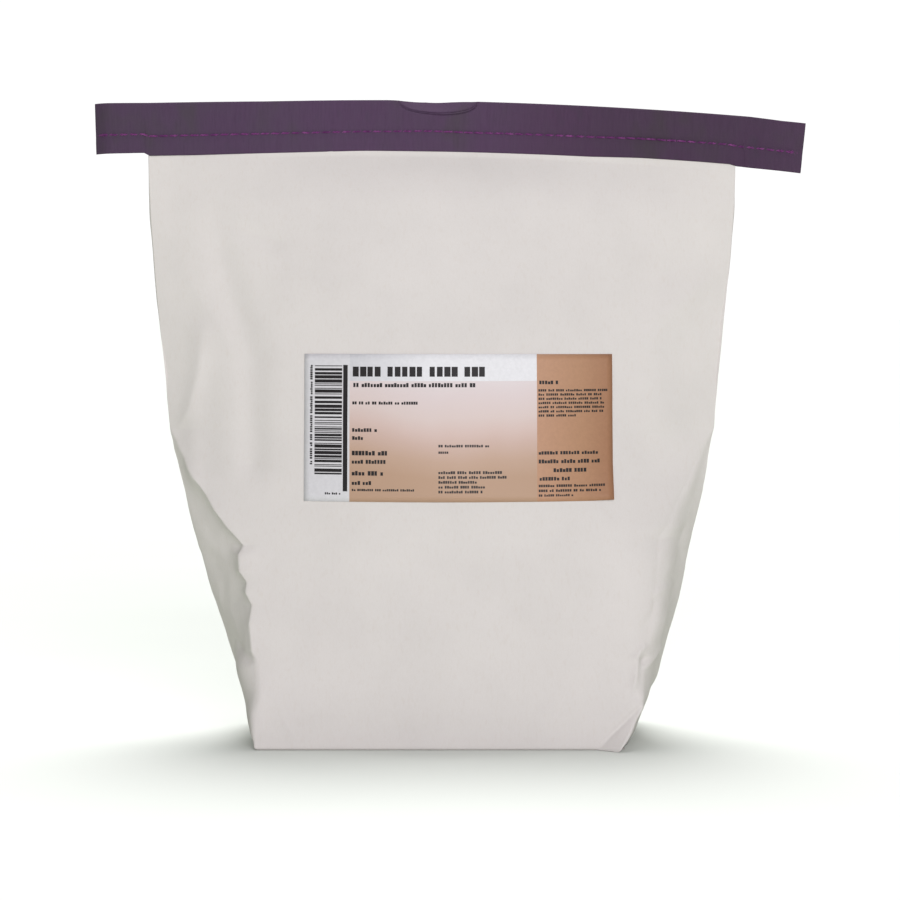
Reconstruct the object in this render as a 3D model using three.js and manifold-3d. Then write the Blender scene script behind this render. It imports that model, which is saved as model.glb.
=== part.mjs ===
// A filled paper sack of baking mix, standing on its block bottom.
// A flat paper tube is folded into a square bottom, filled, pinched flat at the mouth and closed by a
// folded strip of crepe tape, which one row of chain stitches holds. A paper label is on the front.
//
// Units are millimetres. +Z is up, -Y is the front with the label, +X is to the right of the front.
// The origin is the middle of the flat bottom.

import * as THREE from 'three';
import Module from 'manifold-3d';
import { mergeVertices } from 'three/addons/utils/BufferGeometryUtils.js';

const wasm = await Module();
wasm.setup();

const { clamp, lerp, smoothstep } = THREE.MathUtils;

// ---------------------------------------------------------------- driving sizes

const TUBE_WIDTH = 400; // the paper tube laid flat; all the way up, half of its girth
const BASE_WIDTH = 250;
const BASE_DEPTH = (2 * TUBE_WIDTH - 2 * BASE_WIDTH) / 2;
const BASE_EDGE = 2; // rounding where the bottom turns up into the walls

const CLOSED_HEIGHT = 434.5; // floor to the top of the tape, at its highest point
const TAPE_HEIGHT = 34.5; // a 70 mm strip folded over the mouth
const MOUTH_HEIGHT = CLOSED_HEIGHT - TAPE_HEIGHT;
const PAPER_HALF = 0.5; // half the thickness of the plies pinched together in the tape

// Outlines as [height, size] pairs. The sides and corners are distances from the middle plane x = 0.
// Below the fill height the four folds of the bottom run up the sack and spread towards its sides.
const FILL_HEIGHT = 210; // here the corner folds meet the sides and end
const LEFT_SIDE = [
  [0, 125], [17, 129], [31, 133.5], [57, 143.5], [92, 154.5], [134, 167.5], [175, 179], [210, 186],
];
const RIGHT_SIDE = [
  [0, 125], [17, 133.5], [25, 139.5], [38, 148], [52, 152], [92, 161.5], [134, 170.3], [175, 180], [210, 186],
];
const LEFT_CORNER = [
  [0, 125], [20, 123.5], [37, 122], [63, 127], [83, 129],
  [112, 131.5], [134, 137], [162, 154], [184, 171], [210, 186],
];
const RIGHT_CORNER = [
  [0, 125], [32, 133], [65, 138], [92, 143], [121, 146.5], [140, 150.5], [160, 158.5], [185, 172], [210, 186],
];
const HALF_DEPTH = [
  [0, 75], [40, 76], [100, 73], [175, 67.5], [210, 62.3],
  [264, 49.5], [298, 41], [332, 31], [366, 19], [MOUTH_HEIGHT - 2, PAPER_HALF],
];

const PINCH_TOP_GAP = 2.5; // top edge of the paper below the top of the tape
const GAP = 0.3; // clearance between neighbouring pieces

// The tape hangs down a little to the left of TAPE_CREST and more to the right of it.
const TAPE_LEFT = -237.5;
const TAPE_RIGHT = 248.5;
const TAPE_CREST = -56;
const DROOP_RADIUS_LEFT = 8000;
const DROOP_RADIUS_RIGHT = 3100;
const TAPE_HALF = 1.3; // half thickness over the sack
const TAIL_HALF = 0.8; // half thickness of the free tails
const TAIL_FROM = TUBE_WIDTH / 2 + 1; // the tape thins from here, just past the side of the sack,
const TAIL_TO = TUBE_WIDTH / 2 + 7; // to here, where it is a free tail
const TAIL_BEND_RADIUS = 300; // the tails curl backwards
const MOUTH_WAVE = 2.5; // sideways wave of the pinched mouth
const PINCH_FROM = 240; // above this height the walls begin to follow the droop and wave of the mouth
const PINCH_SPREAD = 3; // height in which the pinched plies open out below the tape

const DENT = { from: -42, to: 24, depth: 2.4, reach: 13 }; // knock in the top edge of the tape

const STITCH_PITCH = 6.92;
const STITCH_LEFT = -234.5;
const STITCH_COUNT = 69;
const STITCH_DROP = [21.8, 20.7]; // from the top of the tape to the seam, at its left and right ends
const THREAD_RADIUS = 0.55;
const CHAIN_HALF_WIDTH = 0.95; // the chain behind is two threads side by side
const NEEDLE_HOLE_SHARE = 0.5; // how far the thread narrows where it dips into a needle hole
const CROSSING_HALF = 0.35; // half thickness of the thread where it passes through a tail

const LABEL = { left: -92, right: 114.5, bottom: 164.5, top: 262.3, gap: 0.35, thickness: 0.4 };

// Ear: the front right corner of the bottom, folded forwards along a short crease.
const EAR = { creaseTop: [136, 32], creaseFoot: [105, 2], forward: 0.8, inward: 0.5, from: 45, to: 68 };

// Soft folds of the paper: rounded valleys (depth above 0) and ridges (below 0), each along a path of
// straight runs on one face, given as [x, height] points.
const FRONT_FOLDS = [
  { path: [[-166, 388], [-155, 345], [-142, 300], [-129, 262], [-127, 190]], radius: 11, depth: 3 },
  { path: [[-152, 362], [-140, 349], [-114, 337]], radius: 7, depth: 1.2 },
  { path: [[-163, 275], [-174, 224], [-170, 173]], radius: 9, depth: -2 },
  { path: [[184, 322], [163, 298], [149, 288], [142, 270], [143, 250], [148, 222]], radius: 16, depth: -3 },
];
const BACK_FOLDS = [
  { path: [[150, 352], [122, 262], [136, 196]], radius: 11, depth: 2.6 },
  { path: [[-186, 300], [-148, 246]], radius: 10, depth: 2.2 },
  { path: [[-60, 84], [-96, 30]], radius: 12, depth: 1.8 },
];

const MATERIALS = {
  paper: { color: 0xdbd6d2, roughness: 0.82, metalness: 0 },
  crepe: { color: 0x50405a, roughness: 0.9, metalness: 0 },
  thread: { color: 0x733073, roughness: 0.7, metalness: 0 },
  label: { color: 0xc8a898, roughness: 0.45, metalness: 0 },
};

// ---------------------------------------------------------------- curves

// A smooth curve through [place, value] pairs, with Catmull-Rom slopes; flat beyond its ends.
function along(outline, place) {
  const last = outline.length - 1;
  if (place <= outline[0][0]) return outline[0][1];
  if (place >= outline[last][0]) return outline[last][1];
  const next = outline.findIndex((pair) => pair[0] > place);
  const slopeAt = (i) => {
    const before = outline[Math.max(i - 1, 0)];
    const after = outline[Math.min(i + 1, last)];
    return (after[1] - before[1]) / (after[0] - before[0]);
  };
  const [x0, y0] = outline[next - 1];
  const [x1, y1] = outline[next];
  const width = x1 - x0;
  const t = (place - x0) / width;
  const rise = y1 - y0;
  const bend = (1 - t) * (slopeAt(next - 1) * width - rise) - t * (slopeAt(next) * width - rise);
  return lerp(y0, y1, t) + t * (1 - t) * bend;
}

// A shallow arch of height h over a chord c is longer than the chord by 8 h^2 / 3 c.
const archLength = (chord, height) => chord + (8 * height * height) / (3 * chord);
const archHeight = (chord, length) => Math.sqrt(Math.max((length - chord) * chord * 3, 0) / 8);
const archChord = (length, height) => (length + Math.sqrt(length * length - (32 * height * height) / 3)) / 2;

// ---------------------------------------------------------------- the mouth and the tape

const tapeDrop = (x) => {
  const radius = x < TAPE_CREST ? DROOP_RADIUS_LEFT : DROOP_RADIUS_RIGHT;
  return (x - TAPE_CREST) ** 2 / (2 * radius);
};

const tapeSlope = (x) => {
  const radius = x < TAPE_CREST ? DROOP_RADIUS_LEFT : DROOP_RADIUS_RIGHT;
  return (x - TAPE_CREST) / radius;
};

// How far the knock lowers a point that lies `below` the tape's top edge.
function dentAt(x, below) {
  const t = (x - DENT.from) / (DENT.to - DENT.from);
  if (t <= 0 || t >= 1) return 0;
  return DENT.depth * Math.sin(Math.PI * t) ** 2 * (1 - smoothstep(below, 0, DENT.reach));
}

// The middle surface of the closed mouth, as a distance along Y.
function mouthMiddle(x) {
  const wave = MOUTH_WAVE * Math.sin((2 * Math.PI * x) / (1.15 * TUBE_WIDTH) + 0.6);
  const past = Math.max(Math.abs(x) - TUBE_WIDTH / 2, 0);
  return wave + (past * past) / (2 * TAIL_BEND_RADIUS);
}

// A point of the tape or of the paper in it: `below` its top edge, `out` from its middle surface.
function mouthPoint(x, below, out) {
  const square = smoothstep(Math.abs(x), TUBE_WIDTH / 2, TUBE_WIDTH / 2 + 15);
  const z = CLOSED_HEIGHT - tapeDrop(x) - below - dentAt(x, below);
  return new THREE.Vector3(x - below * tapeSlope(x) * square, mouthMiddle(x) + out, z);
}

// ---------------------------------------------------------------- the sack

const SIDE_STEPS = 4;
const FACE_STEPS = 26;
const WALL_LEVELS = 31;
const PINCH_LEVELS = 3;
const LEAST_SIDE = 14; // shortest stretch of paper that the side steps share
const HALVINGS = 40; // enough to find a depth to well under a micrometre

// The sack's girth at one height: sides, corner folds, and the bulge that the paper's width allows.
function sectionAt(height) {
  const halfDepth = along(HALF_DEPTH, height);
  const filled = height < FILL_HEIGHT;
  const free = archChord(TUBE_WIDTH, halfDepth) / 2;
  const left = filled ? along(LEFT_SIDE, height) : free;
  const right = filled ? along(RIGHT_SIDE, height) : free;
  const leftCorner = filled ? Math.min(along(LEFT_CORNER, height), left) : left;
  const rightCorner = filled ? Math.min(along(RIGHT_CORNER, height), right) : right;
  const chord = leftCorner + rightCorner;
  const panels = (depth) => Math.hypot(left - leftCorner, depth) + Math.hypot(right - rightCorner, depth);

  // the corner folds lie as deep as leaves just enough paper for the bulge between them
  let low = 0;
  let high = halfDepth;
  for (let i = 0; i < HALVINGS; i++) {
    const middle = (low + high) / 2;
    if (panels(middle) + archLength(chord, halfDepth - middle) < TUBE_WIDTH) low = middle;
    else high = middle;
  }
  const cornerDepth = low;
  const bulge = archHeight(chord, TUBE_WIDTH - panels(cornerDepth));
  return { left, right, leftCorner, rightCorner, chord, cornerDepth, bulge };
}

// Depth of the face in front of the middle plane, between the corner folds.
function faceDepth(section, x) {
  const t = (2 * x - section.rightCorner + section.leftCorner) / section.chord;
  return section.cornerDepth + section.bulge * (1 - t * t);
}

// The point at a distance along the paper from the left side (or the right one), as [x, depth].
function pointFromSide(section, distance, isLeft) {
  const side = isLeft ? section.left : section.right;
  const corner = isLeft ? section.leftCorner : section.rightCorner;
  const sign = isLeft ? -1 : 1;
  const panel = Math.hypot(side - corner, section.cornerDepth);
  if (distance < panel) {
    const share = distance / panel;
    return [sign * lerp(side, corner, share), section.cornerDepth * share];
  }
  const steep = (4 * section.bulge) / section.chord;
  const x = sign * (corner - (distance - panel) / Math.hypot(1, steep));
  return [x, faceDepth(section, x)];
}

// Half a ring, from the left side round one face to the right side, as [x, depth] pairs.
function halfRing(section) {
  const leftPanel = Math.hypot(section.left - section.leftCorner, section.cornerDepth);
  const rightPanel = Math.hypot(section.right - section.rightCorner, section.cornerDepth);
  const leftRun = Math.max(leftPanel, LEAST_SIDE);
  const rightRun = Math.max(rightPanel, LEAST_SIDE);
  const points = [];
  for (let i = 0; i < SIDE_STEPS; i++) points.push(pointFromSide(section, (leftRun * i) / SIDE_STEPS, true));
  const first = pointFromSide(section, leftRun, true)[0];
  const last = pointFromSide(section, rightRun, false)[0];
  for (let i = 0; i <= FACE_STEPS; i++) {
    const x = lerp(first, last, i / FACE_STEPS);
    points.push([x, faceDepth(section, x)]);
  }
  for (let i = SIDE_STEPS - 1; i >= 0; i--) {
    points.push(pointFromSide(section, (rightRun * i) / SIDE_STEPS, false));
  }
  return points;
}

// Distance from x, z to the nearest point of a path.
function distanceToPath(path, x, z) {
  let nearest = Infinity;
  for (let i = 0; i + 1 < path.length; i++) {
    const start = new THREE.Vector2(...path[i]);
    const run = new THREE.Vector2(...path[i + 1]).sub(start);
    const offset = new THREE.Vector2(x, z).sub(start);
    const t = clamp(offset.dot(run) / run.lengthSq(), 0, 1);
    nearest = Math.min(nearest, offset.addScaledVector(run, -t).length());
  }
  return nearest;
}

// Depth that the soft folds take from (or add to) a face at x, z.
function foldDepth(folds, x, z) {
  let depth = 0;
  for (const fold of folds) {
    const away = distanceToPath(fold.path, x, z) / fold.radius;
    depth += fold.depth * Math.exp(-away * away);
  }
  return depth;
}

// The ear at the front right corner of the bottom.
function foldEar(point) {
  const foot = new THREE.Vector2(...EAR.creaseFoot);
  const crease = new THREE.Vector2(...EAR.creaseTop).sub(foot);
  const offset = new THREE.Vector2(point.x, point.z).sub(foot);
  const past = -crease.cross(offset) / crease.length();
  if (past <= 0 || point.z > EAR.creaseTop[1]) return;
  const share = smoothstep(-point.y, EAR.from, EAR.to) * (1 - point.z / EAR.creaseTop[1]);
  point.x -= past * EAR.inward * share;
  point.y -= past * EAR.forward * share;
}

// How far a height follows the droop and the wave of the closed mouth.
const pinchShare = (height) => smoothstep(height, PINCH_FROM, MOUTH_HEIGHT - PINCH_SPREAD);

// A point of the sack's wall: x and depth on its ring, at a nominal height, on the front or the back.
function wallPoint(x, depth, height, isFront) {
  const pinch = pinchShare(height);
  const folds = isFront ? FRONT_FOLDS : BACK_FOLDS;
  const dented = Math.max(depth - foldDepth(folds, x, height) * smoothstep(depth, 2, 16), 0);
  const y = mouthMiddle(x) * pinch + (isFront ? -dented : dented);
  return new THREE.Vector3(x, y, height - tapeDrop(x) * pinch);
}

function wallRing(height, shrink) {
  const half = halfRing(sectionAt(height));
  const place = ([x, depth], isFront) => {
    const point = wallPoint(x * shrink, depth * shrink, height, isFront);
    foldEar(point);
    return point;
  };
  const front = half.map((pair) => place(pair, true));
  const back = half.slice(1, -1).reverse().map((pair) => place(pair, false));
  return [...front, ...back];
}

// The plies pinched together in the tape, as thick as the paper except at the two side folds.
function pinchRing(below, extra = 0) {
  const half = halfRing(sectionAt(MOUTH_HEIGHT));
  const widen = 1 + extra / (TUBE_WIDTH / 2);
  const last = half.length - 1;
  const thick = (i) => (i === 0 || i === last ? 0 : PAPER_HALF) + extra;
  const front = half.map(([x], i) => mouthPoint(x * widen, below, -thick(i)));
  const back = half.map(([x], i) => mouthPoint(x * widen, below, thick(i)));
  return extra > 0 ? [...front, ...back.reverse()] : [...front, ...back.slice(1, -1).reverse()];
}

function sackGeometry() {
  const rings = [wallRing(0, 1 - BASE_EDGE / BASE_DEPTH)];
  const top = MOUTH_HEIGHT - PINCH_SPREAD;
  for (let i = 0; i <= WALL_LEVELS; i++) rings.push(wallRing(lerp(BASE_EDGE, top, i / WALL_LEVELS), 1));
  for (let i = 0; i <= PINCH_LEVELS; i++) {
    rings.push(pinchRing(lerp(TAPE_HEIGHT, PINCH_TOP_GAP, i / PINCH_LEVELS)));
  }
  return loft(rings);
}

// ---------------------------------------------------------------- tape

const TAPE_STEPS = 60;
const TAPE_FOLD = [[0, 0.5], [0.9, 1], [10, 1], [20, 1], [TAPE_HEIGHT, 1]]; // [below, share of thickness]
const SLOT_LEVELS = [TAPE_HEIGHT + 4, 20, 10, PINCH_TOP_GAP - GAP]; // below the top of the tape

const tapeHalf = (x) => {
  const share = clamp((Math.abs(x) - TAIL_FROM) / (TAIL_TO - TAIL_FROM), 0, 1);
  return lerp(TAPE_HALF, TAIL_HALF, share);
};

function tapeRing(x) {
  const half = tapeHalf(x);
  const front = TAPE_FOLD.map(([below, share]) => mouthPoint(x, below, -half * share));
  const back = TAPE_FOLD.map(([below, share]) => mouthPoint(x, below, half * share));
  return [...back.reverse(), ...front];
}

function tapeGeometry() {
  const places = [-TAIL_TO, -TAIL_FROM, TAIL_FROM, TAIL_TO];
  for (let i = 0; i <= TAPE_STEPS; i++) places.push(lerp(TAPE_LEFT, TAPE_RIGHT, i / TAPE_STEPS));
  places.sort((a, b) => a - b);
  return loft(places.map(tapeRing));
}

// The room in the tape for the plies of the sack, open below.
function slotGeometry() {
  return loft(SLOT_LEVELS.map((below) => pinchRing(below, GAP)));
}

// ---------------------------------------------------------------- thread

const stitchX = (stitch) => STITCH_LEFT + STITCH_PITCH * stitch;
const seamDrop = (x) => lerp(STITCH_DROP[0], STITCH_DROP[1], (x - TAPE_LEFT) / (TAPE_RIGHT - TAPE_LEFT));

// A four-sided length of thread at x, on the front (-1) or the back (1) of the tape.
function threadRing(x, halfThick, halfWide, face) {
  const middle = face * (tapeHalf(x) + GAP + halfThick);
  const below = seamDrop(x);
  return [
    mouthPoint(x, below, middle + halfThick),
    mouthPoint(x, below - halfWide, middle),
    mouthPoint(x, below, middle - halfThick),
    mouthPoint(x, below + halfWide, middle),
  ];
}

// One side of the seam: thin at each needle hole, full at the given shares of the way to the next.
function seamGeometry(face, shares, halfWide) {
  const full = (place) => threadRing(stitchX(place), THREAD_RADIUS, halfWide, face);
  const hole = (place) => {
    return threadRing(stitchX(place), THREAD_RADIUS * NEEDLE_HOLE_SHARE, halfWide * NEEDLE_HOLE_SHARE, face);
  };
  const rings = [hole(0)];
  for (let stitch = 0; stitch < STITCH_COUNT; stitch++) {
    rings.push(...shares.map((share) => full(stitch + share)), hole(stitch + 1));
  }
  return loft(rings);
}

// The first and the last stitch pass through the tails and join the two sides of the seam.
function crossingGeometry(stitch, halfSize, reach) {
  const x = stitchX(stitch);
  const box = new THREE.BoxGeometry(2 * halfSize, 2 * reach, 2 * halfSize);
  box.translate(...mouthPoint(x, seamDrop(x), 0));
  box.deleteAttribute('normal');
  box.deleteAttribute('uv');
  return mergeVertices(box);
}

// ---------------------------------------------------------------- label

const LABEL_COLUMNS = 18;
const LABEL_ROWS = 8;

// A point in front of the sack at x and a height; the label is stiff enough to bridge the soft folds.
function frontPoint(x, height, out) {
  const pinch = pinchShare(height);
  const y = mouthMiddle(x) * pinch - faceDepth(sectionAt(height), x) - out;
  return new THREE.Vector3(x, y, height - tapeDrop(x) * pinch);
}

function labelGeometry() {
  const rings = [];
  for (let i = 0; i <= LABEL_COLUMNS; i++) {
    const x = lerp(LABEL.left, LABEL.right, i / LABEL_COLUMNS);
    const column = [];
    for (let j = 0; j <= LABEL_ROWS; j++) column.push(lerp(LABEL.bottom, LABEL.top, j / LABEL_ROWS));
    rings.push([
      ...column.map((z) => frontPoint(x, z, LABEL.gap)),
      ...column.reverse().map((z) => frontPoint(x, z, LABEL.gap + LABEL.thickness)),
    ]);
  }
  return loft(rings);
}

// ---------------------------------------------------------------- solids

// A closed solid through rings of points, all with the same count. Each ring turns counter-clockwise
// seen from the far end; the two end rings are filled by a strip across them.
function loft(rings) {
  const count = rings[0].length;
  const triangles = [];
  for (let r = 0; r + 1 < rings.length; r++) {
    for (let i = 0; i < count; i++) {
      const a = r * count + i;
      const b = r * count + ((i + 1) % count);
      triangles.push(a, b, b + count, a, b + count, a + count);
    }
  }
  const end = (rings.length - 1) * count;
  const closeEnds = (a, b, c) => triangles.push(a, c, b, end + a, end + b, end + c);
  let low = 0;
  let high = count - 1;
  while (high - low > 1) {
    closeEnds(low, low + 1, high);
    low += 1;
    if (high - low > 1) closeEnds(low, high - 1, high);
    high -= 1;
  }
  const geometry = new THREE.BufferGeometry();
  const coordinates = rings.flat().flatMap((point) => point.toArray());
  geometry.setAttribute('position', new THREE.Float32BufferAttribute(coordinates, 3));
  geometry.setIndex(triangles);
  return geometry;
}

function solidOf(geometry) {
  const position = geometry.getAttribute('position');
  return new wasm.Manifold(new wasm.Mesh({
    numProp: 3,
    vertProperties: new Float32Array(position.array),
    triVerts: new Uint32Array(geometry.getIndex().array),
  }));
}

function geometryOf(solid) {
  const mesh = solid.getMesh();
  const geometry = new THREE.BufferGeometry();
  geometry.setAttribute('position', new THREE.Float32BufferAttribute(mesh.vertProperties, 3));
  geometry.setIndex([...mesh.triVerts]);
  return geometry;
}

// ---------------------------------------------------------------- the object

function piece(name, geometry, material) {
  geometry.computeVertexNormals();
  const mesh = new THREE.Mesh(geometry, new THREE.MeshStandardMaterial(MATERIALS[material]));
  mesh.name = name;
  return mesh;
}

let tape = solidOf(tapeGeometry()).subtract(solidOf(slotGeometry()));
let thread = solidOf(seamGeometry(-1, [0.3, 0.7], THREAD_RADIUS));
thread = thread.add(solidOf(seamGeometry(1, [0.5], CHAIN_HALF_WIDTH)));
for (const stitch of [0, STITCH_COUNT]) {
  const reach = TAIL_HALF + GAP + THREAD_RADIUS;
  tape = tape.subtract(solidOf(crossingGeometry(stitch, CROSSING_HALF + GAP, 2 * reach)));
  thread = thread.add(solidOf(crossingGeometry(stitch, CROSSING_HALF, reach)));
}

const bag = new THREE.Group();
bag.add(
  piece('sack', sackGeometry(), 'paper'),
  piece('closing_tape', geometryOf(tape), 'crepe'),
  piece('stitch_thread', geometryOf(thread), 'thread'),
  piece('label', labelGeometry(), 'label'),
);

export default bag;
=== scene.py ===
"""Looks of a filled paper sack of baking mix, standing on its block bottom.

The sack's walls, the crepe tape, the chain-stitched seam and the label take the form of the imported
solids from the same few sizes, and get their creases, crinkles, stitches and print here.

Lengths are millimetres until a mesh is made. +Z is up, -Y is the front, +X is to the right of the front.
"""

import math
from types import SimpleNamespace as Sizes

import bpy
import numpy as np
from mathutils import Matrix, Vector
from mathutils.geometry import delaunay_2d_cdt


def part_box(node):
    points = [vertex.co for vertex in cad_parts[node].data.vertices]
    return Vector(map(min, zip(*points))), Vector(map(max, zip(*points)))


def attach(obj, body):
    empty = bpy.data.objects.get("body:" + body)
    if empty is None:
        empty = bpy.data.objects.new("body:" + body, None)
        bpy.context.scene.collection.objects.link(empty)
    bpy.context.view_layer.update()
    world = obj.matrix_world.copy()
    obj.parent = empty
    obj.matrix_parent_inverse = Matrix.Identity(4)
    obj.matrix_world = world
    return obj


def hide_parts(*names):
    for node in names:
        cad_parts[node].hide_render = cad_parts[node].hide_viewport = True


MM = 0.001
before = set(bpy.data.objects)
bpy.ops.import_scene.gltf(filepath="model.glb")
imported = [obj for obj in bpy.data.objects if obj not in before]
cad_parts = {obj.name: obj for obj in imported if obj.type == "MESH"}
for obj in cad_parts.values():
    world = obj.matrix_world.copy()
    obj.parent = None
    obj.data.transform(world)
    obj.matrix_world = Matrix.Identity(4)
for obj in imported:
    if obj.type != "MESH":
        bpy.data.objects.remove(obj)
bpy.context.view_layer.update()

# ---------------- the form, as in the solids

TUBE_WIDTH = 400.0  # the paper tube laid flat
GIRTH = 2 * TUBE_WIDTH
BASE_WIDTH = 250.0
BASE_DEPTH = (GIRTH - 2 * BASE_WIDTH) / 2
BASE_EDGE = 2.0

tape_low, tape_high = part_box("closing_tape")
TAPE_LEFT = tape_low.x / MM
TAPE_RIGHT = tape_high.x / MM
CLOSED_HEIGHT = tape_high.z / MM
TAPE_HEIGHT = 34.5
MOUTH_HEIGHT = CLOSED_HEIGHT - TAPE_HEIGHT
PAPER_HALF = 0.5

FILL_HEIGHT = 210.0
LEFT, RIGHT = 0, 1
SIGNS = (-1, 1)  # of x on each side

# how far out the sack's sides and its corner folds are at each height, left and right
SIDES = (
    [
        (0, 125), (17, 129), (31, 133.5), (57, 143.5),
        (92, 154.5), (134, 167.5), (175, 179), (210, 186),
    ],
    [
        (0, 125), (17, 133.5), (25, 139.5), (38, 148), (52, 152),
        (92, 161.5), (134, 170.3), (175, 180), (210, 186),
    ],
)
CORNERS = (
    [
        (0, 125), (20, 123.5), (37, 122), (63, 127), (83, 129),
        (112, 131.5), (134, 137), (162, 154), (184, 171), (210, 186),
    ],
    [
        (0, 125), (32, 133), (65, 138), (92, 143), (121, 146.5),
        (140, 150.5), (160, 158.5), (185, 172), (210, 186),
    ],
)
HALF_DEPTH = [
    (0, 75), (40, 76), (100, 73), (175, 67.5), (210, 62.3),
    (264, 49.5), (298, 41), (332, 31), (366, 19), (MOUTH_HEIGHT - 2, PAPER_HALF),
]

TAPE_CREST = -56.0  # x of the tape's highest point, from where it droops to both sides
DROOP_RADIUS_LEFT = 8000.0
DROOP_RADIUS_RIGHT = 3100.0
TAPE_HALF = 1.3
TAIL_HALF = 0.8
TAIL_FROM = TUBE_WIDTH / 2 + 1
TAIL_TO = TUBE_WIDTH / 2 + 7
TAIL_BEND_RADIUS = 300.0
MOUTH_WAVE = Sizes(depth=2.5, length=1.15 * TUBE_WIDTH, phase=0.6)
SQUARE_REACH = 15.0  # past the paper the tape's ends turn square to its droop within this
PINCH_FROM = 240.0
PINCH_SPREAD = 3.0
DENT = Sizes(left=-42.0, right=24.0, depth=2.4, reach=13.0)

STITCH_PITCH = 6.92
STITCH_LEFT = -234.5
STITCH_COUNT = 69
STITCH_DROP = (21.8, 20.7)

LABEL = Sizes(left=-92.0, right=114.5, bottom=164.5, top=262.3)
LABEL_WIDTH = LABEL.right - LABEL.left
LABEL_HEIGHT = LABEL.top - LABEL.bottom

EAR = Sizes(top=(136, 32), foot=(105, 2), forward=0.8, inward=0.5, start=45, end=68)

# soft folds of the paper as (path, radius, depth); a depth below 0 is a ridge
FRONT_FOLDS = [
    ([(-166, 388), (-155, 345), (-142, 300), (-129, 262), (-127, 190)], 11, 3),
    ([(-152, 362), (-140, 349), (-114, 337)], 7, 1.2),
    ([(-163, 275), (-174, 224), (-170, 173)], 9, -2),
    ([(184, 322), (163, 298), (149, 288), (142, 270), (143, 250), (148, 222)], 16, -3),
]
BACK_FOLDS = [
    ([(150, 352), (122, 262), (136, 196)], 11, 2.6),
    ([(-186, 300), (-148, 246)], 10, 2.2),
    ([(-60, 84), (-96, 30)], 12, 1.8),
]


def smoothstep(value, start, end):
    t = np.clip((value - start) / (end - start), 0, 1)
    return t * t * (3 - 2 * t)


def bell(distance, width):
    return np.exp(-((distance / width) ** 2))


def window(value, start, full, fade, end):
    """Rises smoothly from 0 at `start` to 1 at `full`, and falls from 1 at `fade` to 0 at `end`."""
    return smoothstep(value, start, full) * (1 - smoothstep(value, fade, end))


def along(outline, place):
    """A smooth curve through (place, value) pairs, with Catmull-Rom slopes; flat beyond its ends."""
    places, values = np.array(outline, float).T
    order = np.arange(len(places))
    before = np.maximum(order - 1, 0)
    after = np.minimum(order + 1, len(places) - 1)
    slopes = (values[after] - values[before]) / (places[after] - places[before])
    place = np.clip(place, places[0], places[-1])
    i = np.clip(np.searchsorted(places, place, side="right") - 1, 0, len(places) - 2)
    width = places[i + 1] - places[i]
    t = (place - places[i]) / width
    rise = values[i + 1] - values[i]
    bend = (1 - t) * (slopes[i] * width - rise) - t * (slopes[i + 1] * width - rise)
    return values[i] + t * rise + t * (1 - t) * bend


def arch_length(chord, height):
    return chord + 8 * height**2 / (3 * chord)


def arch_height(chord, length):
    return np.sqrt(np.maximum((length - chord) * chord * 3, 0) / 8)


def arch_chord(length, height):
    return (length + np.sqrt(length**2 - 32 * height**2 / 3)) / 2


def droop_radius(x):
    return np.where(x < TAPE_CREST, DROOP_RADIUS_LEFT, DROOP_RADIUS_RIGHT)


def tape_drop(x):
    return (x - TAPE_CREST) ** 2 / (2 * droop_radius(x))


def tape_slope(x):
    return (x - TAPE_CREST) / droop_radius(x)


def dent_at(x, below):
    t = np.clip((x - DENT.left) / (DENT.right - DENT.left), 0, 1)
    return DENT.depth * np.sin(np.pi * t) ** 2 * (1 - smoothstep(below, 0, DENT.reach))


def mouth_middle(x):
    """y of the closed mouth's middle surface: a slight wave, and the bend of the tape's tails."""
    wave = MOUTH_WAVE.depth * np.sin(2 * np.pi * x / MOUTH_WAVE.length + MOUTH_WAVE.phase)
    past = np.maximum(np.abs(x) - TUBE_WIDTH / 2, 0)
    return wave + past**2 / (2 * TAIL_BEND_RADIUS)


def mouth_point(x, below, out):
    """A point of the tape or of the paper in it: `below` its top edge, `out` from its middle surface."""
    square = smoothstep(np.abs(x), TUBE_WIDTH / 2, TUBE_WIDTH / 2 + SQUARE_REACH)
    z = CLOSED_HEIGHT - tape_drop(x) - below - dent_at(x, below)
    x_square = x - below * tape_slope(x) * square
    return np.stack(np.broadcast_arrays(x_square, mouth_middle(x) + out, z), -1)


# ---------------- the sack's walls

SIDE_STEPS = 44
FACE_STEPS = 250
LEAST_SIDE = 14.0
ROW_PITCH = 1.45
HALVINGS = 40
ROUND_SHARE = 0.6  # a corner fold is rounded over at most this share of the panel beside it
ROUND_FADE = 1.6  # beyond its reach the rounding dies away by this many reaches
ROUND_STEPS = 10
LEAST_REACH = 0.8
FOLDED_FROM = (2, 16)  # the soft folds grow between these depths of the sack
JAG_PITCH = 15.0  # a corner fold runs zigzag, with a knee about this often,
JAG_REACH = 2.6  # this far to either side
JAG_SPREAD = 13.0  # and the paper follows it within about this distance
JAG_ZONE = (4, 26, 165, 200)  # heights of a fold's random zigzag

# knees of the left front corner fold, as (height, how far outwards)
LEFT_KNEES = [
    (4, 0), (23, 1.6), (37, -0.3), (57, -2.8), (64, 0), (82, -0.3), (95, -2.9), (103, 1.1), (110, -0.5),
    (117, 3.2), (128, 1.4), (134, -4.2), (146, 1.2), (157, 3.2), (168, 2.6), (178, 2.2), (192, 0),
]
JAG_SEEDS = {True: (None, 12), False: (21, 22)}  # of the left and the right fold, in front and behind


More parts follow.
